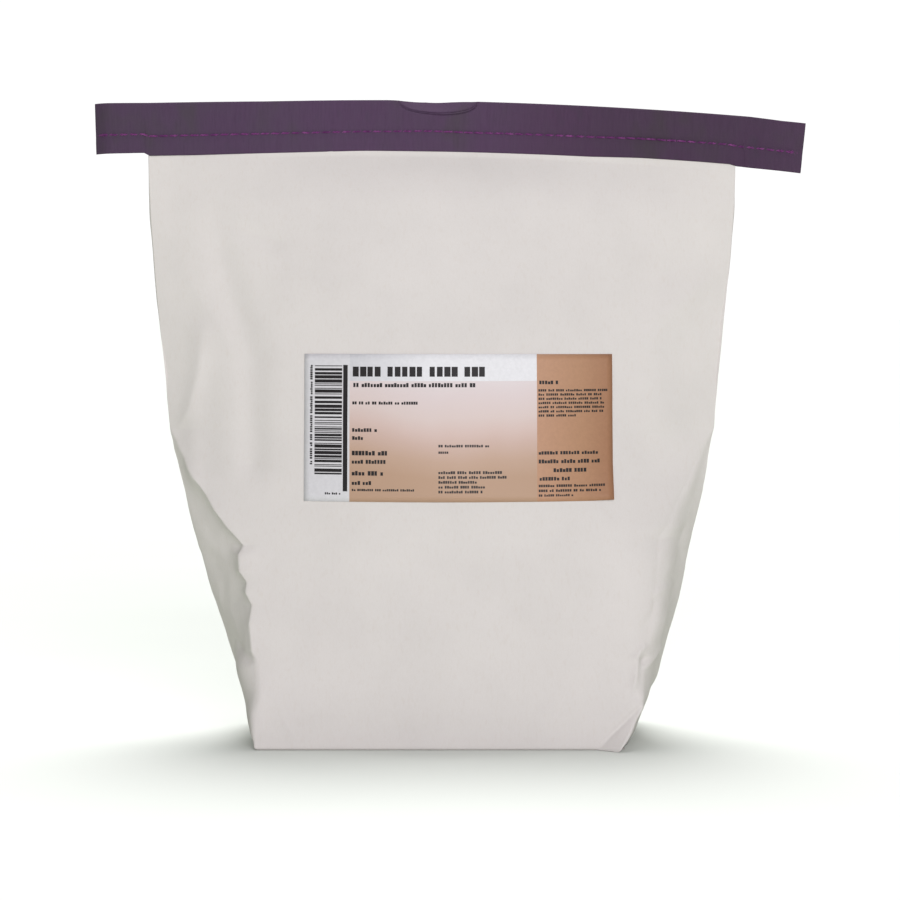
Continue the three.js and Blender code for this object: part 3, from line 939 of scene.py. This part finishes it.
def bottom_grid(ring, start):
    """Points, numbered from `start`, and vertex numbers that fill the inside of the lowest ring."""

    def back(i):
        return np.where((i == 0) | (i == RING_LAST), i, 2 * RING_LAST - i)

    rows = 2 * SIDE_STEPS + 1
    columns = FACE_STEPS + 1
    row = np.arange(rows)
    column = np.arange(columns)
    near = row <= SIDE_STEPS
    index = np.full((rows, columns), -1)
    index[0] = SIDE_STEPS + column
    index[-1] = back(SIDE_STEPS + column)
    index[:, 0] = np.where(near, SIDE_STEPS - row, back(row - SIDE_STEPS))
    right = SIDE_STEPS + FACE_STEPS + row
    index[:, -1] = np.where(near, right, back(2 * RING_LAST - right))
    up = (row / (rows - 1))[:, None, None]
    across = (column / (columns - 1))[None, :, None]
    between = ring[index[0]][None] * (1 - up) + ring[index[-1]][None] * up
    beside = ring[index[:, 0]][:, None] * (1 - across) + ring[index[:, -1]][:, None] * across
    low, high = (ring[index[i, 0]] * (1 - across) + ring[index[i, -1]] * across for i in (0, -1))
    inside = (between + beside - (low * (1 - up) + high * up))[1:-1, 1:-1]
    index[1:-1, 1:-1] = start + np.arange(inside.size // 3).reshape(inside.shape[:2])
    return inside.reshape(-1, 3), index


def make_sack():
    walls = sack_walls()
    rings = np.concatenate([sack_edge(walls[0]), walls, pinch_rings()])
    count = rings.shape[1]
    index = np.arange(rings.shape[0] * count).reshape(rings.shape[:2])
    inside, bottom = bottom_grid(rings[0], index.size)
    quads = np.concatenate([grid_faces(index, True), grid_faces(bottom[::-1])])
    top = index[-1]
    lid = [(top[0], top[1], top[2 * RING_LAST - 1])]
    for i in range(1, RING_LAST - 1):
        opposite = 2 * RING_LAST - i
        lid.append((top[i], top[i + 1], top[opposite - 1], top[opposite % count]))
    lid.append((top[RING_LAST - 1], top[RING_LAST], top[RING_LAST + 1]))
    points = np.concatenate([rings.reshape(-1, 3), inside])
    piece = mesh_piece("sack_paper", points, quads.tolist() + lid, [PAPER])
    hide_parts("sack")


make_sack()

# ---------------- the bottom's flaps

FLAP_SHEET = 0.22  # thickness of the paper in the flaps
FLAP_OVERLAP = 14.0  # how far each long flap passes the middle
FLAP_MARGINS = (3.5, 3.0)  # how far inside the base the flaps stay, across and deep
FLAP_SLANT = 0.92  # how far a long flap's ends run in for each millimetre of its depth
FLAP_LEVELS = (BOTTOM_LIFT - FLAP_SHEET - 0.01, BOTTOM_LIFT - 2 * FLAP_SHEET - 0.02)
FLAP_POINTS = 25


def flap(name, side, corners, top):
    """A flat flap under the sack: four corners, and the height of its upper face."""
    steps = np.linspace(0, 1, FLAP_POINTS)
    across, up = np.meshgrid(steps, steps)
    corners = np.array(corners[::-side], float)
    low = corners[0] + (corners[1] - corners[0]) * across[..., None]
    high = corners[3] + (corners[2] - corners[3]) * across[..., None]
    flat = low + (high - low) * up[..., None]
    lower = np.concatenate([flat, np.full((FLAP_POINTS, FLAP_POINTS, 1), top - FLAP_SHEET)], -1)
    sheet_piece(name, lower + (0, 0, FLAP_SHEET), lower, PAPER, smooth=False)


def make_flaps():
    """Two pasted triangles at the ends, and two long flaps that overlap along the middle."""
    half_width = BASE_WIDTH / 2 - FLAP_MARGINS[0]
    half_depth = BASE_DEPTH / 2 - FLAP_MARGINS[1]
    for side, name in zip(SIGNS, ("left", "right")):
        foot = side * half_width
        tip = side * (half_width - half_depth)
        corners = [(foot, -half_depth), (tip, -1), (tip, 1), (foot, half_depth)]
        flap(f"bottom_end_{name}", side, corners, BOTTOM_LIFT)
    slant = half_width - (half_depth + FLAP_OVERLAP) * FLAP_SLANT
    for side, name, level in zip(SIGNS, ("front", "back"), FLAP_LEVELS):
        outer = side * half_depth
        inner = -side * FLAP_OVERLAP
        corners = [(-half_width, outer), (half_width, outer), (slant, inner), (-slant, inner)]
        flap(f"bottom_flap_{name}", side, corners, level)


make_flaps()

# ---------------- the tube's pasted lap, up the back

# its cut edge stands off the back by `lift`, and its other edge is `sunk` into the paper
LAP = Sizes(cut=14.0, tucked=-9.0, lift=0.38, sunk=-0.5, sheet=0.35, pitch=2.0, columns=16)
LAP_TOP = MOUTH_HEIGHT - PINCH_SPREAD - 1
LAP_FOOT = 2.5
LAP_RISE = 0.45  # share of its width that rises out of the paper


def on_wall(x, height, is_front, out):
    """Points of a wall at x and a height, `out` from its creased surface."""
    section = section_at(height)

    def smooth_point(at_x, at_height):
        at = section_at(at_height)
        return wall_point(at_x, face_depth(at, at_x), at_height, is_front)

    points = smooth_point(x, height)
    around = smooth_point(x + 0.5, height) - smooth_point(x - 0.5, height)
    up = smooth_point(x, height + 0.5) - smooth_point(x, height - 0.5)
    normals = cross_normals(around, up) * (1 if is_front else -1)
    stand = relief(section, x, paper_place(section, x), height, is_front) + out
    return points + normals * stand[..., None]


def make_lap():
    heights = np.arange(LAP_FOOT, LAP_TOP, LAP.pitch)[:, None]
    x = np.linspace(LAP.cut, LAP.tucked, LAP.columns)[None, :]
    share = (x - LAP.tucked) / (LAP.cut - LAP.tucked)
    lift = LAP.sunk + (LAP.lift - LAP.sunk) * smoothstep(share, 0, LAP_RISE)
    x, heights, lift = np.broadcast_arrays(x, heights, lift)
    outer = on_wall(x, heights, False, lift)
    inner = on_wall(x, heights, False, lift - LAP.sheet)
    sheet_piece("back_lap", outer, inner, PAPER)


make_lap()

# ---------------- the crepe tape

TAPE_COLUMNS = 640
TAPE_LEG_ROWS = 72
TAPE_FOLD_ROWS = 8
TAPE_SEEDS = (31, 41)  # of the front leg and the back leg
CREPE_SHEET = 0.42
FOLD_BELOW = 1.6  # the fold over the top starts this far below it
SEAM_GROOVE = Sizes(depth=0.75, width=3.0)
EDGE_ROLL = Sizes(depth=0.45, width=1.3)  # the lower edges press against the paper
DENT_ARC = Sizes(middle=-2.5, half_width=27.0, depth=9.4, tilt=0.75, groove=2.0, width=0.8)
STEP_CREASES = (-202.6, 206.7)  # where the tape passes the sides of the paper inside it

# crinkles of the crepe as (blur up the tape, blur along it, height)
CRINKLES = [(7.0, 1.0, 0.022), (11.0, 3.8, 0.045), (9.0, 26.0, 0.2)]
NEEDLE_PIT = Sizes(depth=0.4, height=1.0, width=1.1)
STEP = Sizes(depth=0.5, width=0.9, grow=(8, 22))  # pressed in by the sides of the paper
CALM_END = Sizes(reach=3.0, share=0.6)  # the crinkles are lower at the tape's two ends
INSIDE_LIMIT = 0.1  # crinkles of the tape's inside stand out no further than this

# how far the tape's edges sag below their smooth line, as (x, millimetres)
TOP_SAG = [
    (-237, 0.1), (-200, 0.8), (-120, 0.8), (-70, 0.2), (-40, 0), (-28, -0.6),
    (-11, -1.5), (6, -0.9), (20, 0), (210, 0), (232, 0.8), (248, 0.6),
]
BOTTOM_SAG = [
    (-237, 0.1), (-203, 0.2), (-199, 2.3), (-165, 2.3), (-100, 1.2), (-55, 0.1),
    (100, 0), (135, -1.1), (176, -1.2), (196, -1.1), (201, 0), (248, 0.2),
]
LEFT_CURL = Sizes(reach=12.0, bend=0.055)  # the ends curve away to the back
RIGHT_CURL = Sizes(reach=22.0, bend=0.006)


def tape_half(x):
    share = np.clip((np.abs(x) - TAIL_FROM) / (TAIL_TO - TAIL_FROM), 0, 1)
    return TAPE_HALF + (TAIL_HALF - TAPE_HALF) * share


def tape_point(x, below, out):
    """A point of the tape: a mouth point, moved by the sag of its edges and the curl of its ends."""
    points = mouth_point(x, below, out)
    share = below / TAPE_HEIGHT
    top_sag, bottom_sag = (np.interp(x, *zip(*sag)) for sag in (TOP_SAG, BOTTOM_SAG))
    points[..., 2] -= top_sag * (1 - share) + bottom_sag * share
    left = np.maximum(TAPE_LEFT + LEFT_CURL.reach - x, 0)
    right = np.maximum(x - TAPE_RIGHT + RIGHT_CURL.reach, 0)
    points[..., 1] += LEFT_CURL.bend * left**2 + RIGHT_CURL.bend * right**2
    return points


def seam_drop(x):
    share = (x - TAPE_LEFT) / (TAPE_RIGHT - TAPE_LEFT)
    return STITCH_DROP[0] + (STITCH_DROP[1] - STITCH_DROP[0]) * share


def smooth_noise(shape, up_blur, along_blur, seed):
    """A smooth random raster with unit spread."""
    field = blurred(np.random.default_rng(seed).normal(size=shape), up_blur, along_blur)
    return field / field.std()


def dent_arc(x):
    """How far below the tape's top the curved crease of its dent runs."""
    t = (x - DENT_ARC.middle) / DENT_ARC.half_width
    return DENT_ARC.depth * np.sqrt(np.clip(1 - t**2, 0, 1))


def dent_back(x, below):
    """How far the knocked-in part of the tape's top leans back, above that crease."""
    return np.maximum(dent_arc(x) - below, 0) * DENT_ARC.tilt


def crepe_relief(x, below, seed):
    """Crinkles of one leg of the tape, and what the seam, the dent and the paper inside press in it."""
    crinkles = sum(
        smooth_noise(x.shape, up_blur, along_blur, seed + number) * height
        for number, (up_blur, along_blur, height) in enumerate(CRINKLES)
    )
    from_seam = below - seam_drop(x)
    groove = SEAM_GROOVE.depth * bell(from_seam, SEAM_GROOVE.width)
    stitch = (x - STITCH_LEFT) / STITCH_PITCH
    from_hole = (stitch - np.round(stitch)) * STITCH_PITCH
    pits = NEEDLE_PIT.depth * bell(from_seam, NEEDLE_PIT.height) * bell(from_hole, NEEDLE_PIT.width)
    arc = dent_arc(x)
    dent = DENT_ARC.groove * bell(below - arc, DENT_ARC.width) * smoothstep(arc, 1, 4)
    steps = STEP.depth * sum(bell(x - place, STEP.width) for place in STEP_CREASES)
    steps = steps * smoothstep(below, *STEP.grow)
    roll = EDGE_ROLL.depth * (1 - smoothstep(TAPE_HEIGHT - below, 0, EDGE_ROLL.width))
    inner = window(x, TAPE_LEFT, TAPE_LEFT + CALM_END.reach, TAPE_RIGHT - CALM_END.reach, TAPE_RIGHT)
    return crinkles * (1 - CALM_END.share * (1 - inner)) - groove - pits - dent - steps - roll


def tape_surface(x, shrink):
    """Front leg, fold and back leg of the folded tape; `shrink` is the depth below its outer face."""
    half = tape_half(x) - shrink
    legs = np.linspace(TAPE_HEIGHT, FOLD_BELOW, TAPE_LEG_ROWS)[:, None]
    legs, columns = np.broadcast_arrays(legs, x[None, :])
    sheets = []
    for face, seed in zip(SIGNS, TAPE_SEEDS):
        sheet = tape_point(columns, legs, face * half)
        crinkles = crepe_relief(columns, legs, seed)
        sheet[..., 1] += face * (np.minimum(crinkles, INSIDE_LIMIT) if shrink else crinkles)
        sheets.append(sheet)
    front, back = sheets
    fold = []
    for angle in math.pi * np.arange(1, TAPE_FOLD_ROWS) / TAPE_FOLD_ROWS:
        below = shrink + (FOLD_BELOW - shrink) * (1 - math.sin(angle))
        fold.append(tape_point(x, below, -half * math.cos(angle)))
    surface = np.concatenate([front, np.array(fold), back[::-1]])
    fold_below = np.full((len(fold), x.size), FOLD_BELOW / 2)
    below_all = np.concatenate([legs, fold_below, legs[::-1]])
    surface[..., 1] += dent_back(surface[..., 0], below_all)
    return surface


def make_tape():
    x = np.linspace(TAPE_LEFT, TAPE_RIGHT, TAPE_COLUMNS + 1)
    outer, inner = tape_surface(x, 0.0), tape_surface(x, CREPE_SHEET)
    piece = sheet_piece("tape_crepe", outer, inner, CREPE)
    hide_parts("closing_tape")


make_tape()

# ---------------- the chain-stitched seam

PLY_RADIUS = 0.38
PLY_OFFSET = 0.36
TWIST_PITCH = 4.2  # length of thread in one turn of its two plies
THREAD_STEPS = 18
THREAD_SIDES = 6

# a dash of the seam: how deep its ends are, how far it bows out, and the share of a stitch it spans
DASH = Sizes(sunk=-0.55, bow=1.1, start=0.06, length=0.86, lean=0.35)
# a loop of the chain: the same, and how far apart its legs are at their widest
LOOP = Sizes(sunk=-0.1, bow=0.75, length=1.22, wide=0.95)


def ply_tubes(path):
    """Points and faces of two twisted plies along a path of points."""
    tangents = np.gradient(path, axis=0)
    tangents /= np.linalg.norm(tangents, axis=1, keepdims=True)
    side = np.cross(tangents, (0, 1, 0.001))
    side /= np.linalg.norm(side, axis=1, keepdims=True)
    up = np.cross(side, tangents)

    def off_axis(angle):
        """Unit vectors square to the path, at an angle round it."""
        return np.cos(angle)[..., None] * side + np.sin(angle)[..., None] * up

    walked = np.concatenate([[0], np.cumsum(np.linalg.norm(np.diff(path, axis=0), axis=1))])
    angles = 2 * np.pi * np.arange(THREAD_SIDES) / THREAD_SIDES
    ring = np.moveaxis(off_axis(np.broadcast_to(angles[:, None], (THREAD_SIDES, len(path)))), 0, 1)
    points, faces = [], []
    for ply, phase in enumerate((0, math.pi)):
        centre = path + PLY_OFFSET * off_axis(2 * np.pi * walked / TWIST_PITCH + phase)
        points.append((centre[:, None] + PLY_RADIUS * ring).reshape(-1, 3))
        index = np.arange(len(path) * THREAD_SIDES).reshape(-1, THREAD_SIDES)
        index += ply * index.size
        faces += [*grid_faces(index[:, ::-1], True).tolist(), index[0].tolist(), index[-1, ::-1].tolist()]
    return np.concatenate(points), faces


def seam_place(stitch, below_extra, out, face):
    """A point near the seam: `out` from the bottom of its groove, on the front (-1) or the back (1)."""
    x = STITCH_LEFT + STITCH_PITCH * stitch
    stand = tape_half(x) - SEAM_GROOVE.depth + out
    return tape_point(x, seam_drop(x) + below_extra, face * stand)


def front_stitch(number, lean):
    """One dash: out of a needle hole, over the tape, and into the next hole."""
    share = np.linspace(0, 1, THREAD_STEPS)
    out = DASH.sunk + DASH.bow * np.sin(np.pi * share) ** 0.8
    return seam_place(number + DASH.start + DASH.length * share, lean * (share - 0.5), out, -1)


def back_loop(number):
    """One loop of the chain: down one leg, round the next hole and back."""
    share = np.linspace(0, 1, 2 * THREAD_STEPS)
    reach = 0.5 - 0.5 * np.cos(2 * np.pi * share)
    wide = LOOP.wide * np.sin(2 * np.pi * share) * (0.35 + 0.65 * reach)
    out = LOOP.sunk + LOOP.bow * np.sin(np.pi * share) ** 0.3
    return seam_place(number + LOOP.length * reach, wide, out, 1)


def make_thread():
    leans = np.random.default_rng(8).uniform(-DASH.lean, DASH.lean, STITCH_COUNT)
    paths = [front_stitch(number, lean) for number, lean in enumerate(leans)]
    paths += [back_loop(number) for number in range(STITCH_COUNT)]
    points, faces = [], []
    for path in paths:
        part, part_faces = ply_tubes(path)
        start = len(points)
        faces += [tuple(i + start for i in face) for face in part_faces]
        points.extend(part)
    piece = mesh_piece("seam_thread", points, faces, [THREAD])
    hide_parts("stitch_thread")


make_thread()

# ---------------- the label

LABEL_OUT = 0.3  # how far the label's back stands off the paper
LABEL_SHEET = 0.16
LABEL_CELL = 4.0  # the label bends between points this far apart
STRIP_WIDTH = 30.6  # the pale strip with the bars, down the left
PANEL_LEFT = 155.4  # the tan field, down the right
HEADER_HEIGHT = 17.9

INKS = [
    print_material("label_strip", (0.0, (210, 208, 212))),
    print_material("label_header", (0.15, (202, 201, 206)), (0.40, (226, 225, 229))),
    scenery_material(),
    print_material(
        "label_tan", (0.77, (184, 141, 113)), (0.90, (173, 131, 101)), (1.0, (158, 114, 86))
    ),
    print_material("label_ink", (0.0, (22, 18, 20))),
    print_material("label_edge", (0.0, (196, 188, 184))),
]
STRIP, HEADER, SCENERY, TAN, INK, PAPER_EDGE = range(len(INKS))

# lines of plain blocks that stand for words, as (left, top, right, bottom) in mm from the top left
# corner of the label; the last number is the width of a block as a share of its height
WORD_LINES = [
    (33.0, 19.2, 116.0, 22.0, 0.72),
    (32.4, 31.5, 77.5, 33.5, 0.8),
    (32.4, 49.2, 50.3, 51.6, 0.8),
    (32.4, 54.5, 40.2, 56.9, 0.8),
    (32.2, 64.1, 55.7, 67.1, 0.75),
    (32.2, 70.0, 57.7, 72.6, 0.75),
    (32.2, 77.4, 53.0, 80.4, 0.75),
    (32.2, 84.0, 45.6, 86.6, 0.75),
    (32.2, 89.2, 75.1, 90.7, 0.9),
    (89.8, 59.9, 124.7, 61.6, 0.9),
    (89.8, 64.3, 96.6, 65.8, 0.9),
    (89.8, 77.3, 133.0, 79.2, 0.85),
    (89.8, 80.5, 136.1, 82.3, 0.85),
    (89.8, 83.7, 116.0, 85.5, 0.85),
    (89.8, 86.9, 121.0, 88.7, 0.85),
    (89.8, 90.1, 119.0, 91.9, 0.85),
    (157.0, 17.8, 171.0, 20.2, 0.8),
    (156.4, 64.6, 197.0, 66.8, 0.85),
    (156.4, 70.0, 198.5, 72.6, 0.75),
    (166.3, 75.9, 189.7, 78.5, 0.8),
    (157.0, 81.6, 178.3, 84.0, 0.8),
    (156.4, 86.6, 201.0, 88.3, 0.9),
    (156.4, 89.8, 199.0, 91.5, 0.9),
    (156.4, 93.0, 180.0, 94.5, 0.9),
]
TITLE = (32.6, 8.4, 124.0, 15.0, 0.74)
WORD = Sizes(letters=(2, 9), gap=0.75, least=0.6, filled=(0.70, 0.88))  # in block widths
PARAGRAPH = Sizes(left=156.4, right=203.5, top=23.5, pitch=2.78, lines=7, height=1.55)
BARCODE = Sizes(left=7.1, right=25.5, top=7.7, bottom=81.7)
BAR_SIZES = [0.55, 0.55, 1.1, 1.65, 2.2]
BAR_GAPS = [0.45, 0.55, 0.9, 1.3]
LEAST_BAR = 0.5
THICK_BAR = (26.2, 7.3, 29.2, 91.0)
SIDE_WORDS = Sizes(left=4.0, right=5.6, top=7.4, bottom=73.5)
FOOT_WORDS = (14.2, 91.8, 24.6, 93.2, 0.9)


def word_blocks(left, top, right, bottom, block_share, rng, rises=(0.0, 0.0, 0.24)):
    """Blocks of even width in groups of random length, like words seen from too far to read."""
    height = bottom - top
    width = height * block_share
    blocks = []
    x = left
    last = right - width * WORD.least
    while x < last:
        for _ in range(rng.integers(*WORD.letters)):
            if x > last:
                break
            rise = rng.choice(rises) * height
            end = min(x + width * rng.uniform(*WORD.filled), right)
            blocks.append((x, top + rise, end, bottom))
            x += width
        x += width * WORD.gap
    return blocks


def bar_blocks(rng):
    """Plain bars of random thickness, stacked down the strip."""
    blocks = []
    y = BARCODE.top
    while y < BARCODE.bottom - LEAST_BAR:
        thick = min(rng.choice(BAR_SIZES), BARCODE.bottom - y)
        blocks.append((BARCODE.left, y, BARCODE.right, y + thick))
        y += thick + rng.choice(BAR_GAPS)
    return blocks


def printed_blocks():
    """Every inked block of the label, in mm from its top left corner."""
    rng = np.random.default_rng(77)
    blocks = bar_blocks(rng)
    blocks.append(THICK_BAR)
    blocks += word_blocks(*TITLE, rng, rises=(0.0,))
    for line in (*WORD_LINES, FOOT_WORDS):
        blocks += word_blocks(*line, rng)
    for number in range(PARAGRAPH.lines):
        top = PARAGRAPH.top + PARAGRAPH.pitch * number
        right = PARAGRAPH.right - (rng.uniform(0, 5) if number < PARAGRAPH.lines - 1 else 22)
        blocks += word_blocks(PARAGRAPH.left, top, right, top + PARAGRAPH.height, 0.9, rng)
    upright = word_blocks(SIDE_WORDS.top, SIDE_WORDS.left, SIDE_WORDS.bottom, SIDE_WORDS.right, 0.9, rng)
    blocks += [(block[1], block[0], block[3], block[2]) for block in upright]
    return blocks


def field_at(x, y):
    """The printed field at a place on the label."""
    if x < STRIP_WIDTH:
        return STRIP
    if x > PANEL_LEFT:
        return TAN
    return HEADER if y < HEADER_HEIGHT else SCENERY


def label_lines():
    """Lines that the label's mesh is split along so that it can bend, and the edges of its fields."""
    across = np.linspace(0, LABEL_WIDTH, round(LABEL_WIDTH / LABEL_CELL) + 1)
    down = np.linspace(0, LABEL_HEIGHT, round(LABEL_HEIGHT / LABEL_CELL) + 1)
    return [*across, STRIP_WIDTH, PANEL_LEFT], [*down, HEADER_HEIGHT]


def label_plan():
    """The label laid flat, split into faces that each have one ink: points, faces and their inks."""
    corners, edges, faces = [], [], []

    def rectangle(left, top, right, bottom):
        start = len(corners)
        corners.extend([(left, top), (right, top), (right, bottom), (left, bottom)])
        faces.append(list(range(start, start + 4)))

    def line(start, end):
        edges.append((len(corners), len(corners) + 1))
        corners.extend([start, end])

    rectangle(0, 0, LABEL_WIDTH, LABEL_HEIGHT)
    for block in printed_blocks():
        rectangle(*block)
    across, down = label_lines()
    for x in across:
        line((x, 0), (x, LABEL_HEIGHT))
    for y in down:
        line((0, y), (LABEL_WIDTH, y))
    corners = [Vector(corner) for corner in corners]
    points, _, triangles, _, _, origins = delaunay_2d_cdt(corners, edges, faces, 1, 1e-4)
    inks = []
    for triangle, origin in zip(triangles, origins):
        x, y = sum((points[i] for i in triangle), Vector((0, 0))) / len(triangle)
        inks.append(INK if max(origin) > 0 else field_at(x, y))
    return np.array(points), triangles, inks


RIPPLE_ACROSS = Sizes(height=0.05, length=11)
RIPPLE_DOWN = Sizes(height=0.04, length=7)
DOG_EAR = Sizes(across=15.5, up=23.3, lift=0.16)  # the label's bent lower right corner


def label_stand(x, y):
    """How far the label stands off the paper: a bent lower right corner and faint ripples."""
    slant = math.hypot(DOG_EAR.across, DOG_EAR.up)
    to_corner = (LABEL_WIDTH - x) * DOG_EAR.up + (LABEL_HEIGHT - y) * DOG_EAR.across
    past = (DOG_EAR.across * DOG_EAR.up - to_corner) / slant
    curl = DOG_EAR.lift * (past + np.hypot(past, 1.0)) / 2
    across = RIPPLE_ACROSS.height * np.sin(x / RIPPLE_ACROSS.length + 0.4 * np.sin(y / 9))
    down = RIPPLE_DOWN.height * np.sin(y / RIPPLE_DOWN.length + x / 40)
    return LABEL_OUT + curl + across + down


def make_label():
    flat, triangles, inks = label_plan()
    x = LABEL.left + flat[:, 0]
    height = LABEL.top - flat[:, 1]
    out = label_stand(flat[:, 0], flat[:, 1])
    front = on_wall(x, height, True, out + LABEL_SHEET)
    back = on_wall(x, height, True, out)
    count = len(flat)
    faces = [tuple(triangle) for triangle in triangles]
    sides = {side for face in faces for side in zip(face, face[1:] + face[:1])}
    rim = sorted(side for side in sides if side[::-1] not in sides)
    all_faces = [tuple(reversed(face)) for face in faces]
    all_faces += [tuple(i + count for i in face) for face in faces]
    all_faces += [(a, b, b + count, a + count) for a, b in rim]
    slots = inks + [PAPER_EDGE] * (len(faces) + len(rim))
    piece = mesh_piece("label_sheet", np.concatenate([front, back]), all_faces, INKS, slots)
    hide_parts("label")


make_label()

# ---------------- floor, light and camera

FLOOR_SIZE = 80.0
FLOOR_BOUNCE = (198, 204, 193)
FILL_LIGHT = 0.30
FILL_COLOUR = (0.97, 1.0, 0.95, 1)
WHITE_LIGHT = 1.05
VIEW_TARGET = Vector((5.48, 0, 195.69)) * MM
VIEW_DISTANCE = 2.0
VIEW_REACH = 50.0
VIEW_ELEVATION = math.radians(3)
VIEW_HALF_WIDTH = 0.30849  # what the picture takes in to each side of the target
SENSOR = 36.0


def make_floor():
    half = FLOOR_SIZE / 2
    corners = [(-half, -half, 0), (half, -half, 0), (half, half, 0), (-half, half, 0)]
    mesh = bpy.data.meshes.new("floor")
    mesh.from_pydata(corners, [], [(0, 1, 2, 3)])
    mesh.materials.append(floor_material())
    floor = placed("floor", mesh)


def soft_sun(name, azimuth, elevation, spread, power, colour):
    """A large distant soft light; azimuth 0 is in front, 90 to the right, and angles are in degrees."""
    light = bpy.data.lights.new(name, "SUN")
    light.energy = power
    light.angle = math.radians(spread)
    light.color = colour
    turn, rise = math.radians(azimuth), math.radians(elevation)
    flat = math.cos(rise)
    towards = Vector((math.sin(turn) * flat, -math.cos(turn) * flat, math.sin(rise)))
    placed(name, light).rotation_euler = towards.to_track_quat("Z", "Y").to_euler()


def make_world():
    """White behind the object, and a dimmer, even fill on it."""
    world = bpy.data.worlds.new("studio")
    bpy.context.scene.world = world
    world.use_nodes = True
    nodes = Nodes(world.node_tree)
    nodes.tree.nodes.clear()
    is_seen = nodes.add("ShaderNodeLightPath").outputs["Is Camera Ray"]
    mix = nodes.add("ShaderNodeMixShader", Fac=is_seen)
    lights = ((FILL_COLOUR, FILL_LIGHT), ((1, 1, 1, 1), WHITE_LIGHT))
    for socket, (colour, strength) in zip(mix.inputs[1:], lights):
        background = nodes.add("ShaderNodeBackground", Color=colour, Strength=strength)
        nodes.put(socket, background.outputs[0])
    nodes.add("ShaderNodeOutputWorld", Surface=mix.outputs[0])


def make_camera():
    data = bpy.data.cameras.new("camera")
    data.sensor_width = SENSOR
    data.lens = SENSOR / 2 * VIEW_DISTANCE / VIEW_HALF_WIDTH
    data.clip_end = VIEW_REACH
    camera = placed("camera", data)
    back = Vector((0, -math.cos(VIEW_ELEVATION), math.sin(VIEW_ELEVATION)))
    camera.location = VIEW_TARGET + back * VIEW_DISTANCE
    camera.rotation_euler = (-back).to_track_quat("-Z", "Y").to_euler()
    bpy.context.scene.camera = camera


make_floor()
make_world()
soft_sun("behind", azimuth=180, elevation=67, spread=35, power=2.75, colour=(1.0, 1.0, 1.0))
soft_sun("front", azimuth=9, elevation=12, spread=38, power=2.26, colour=(0.974, 0.942, 1.0))
make_camera()

view = bpy.context.scene.view_settings
view.view_transform = "Standard"
view.look = "None"
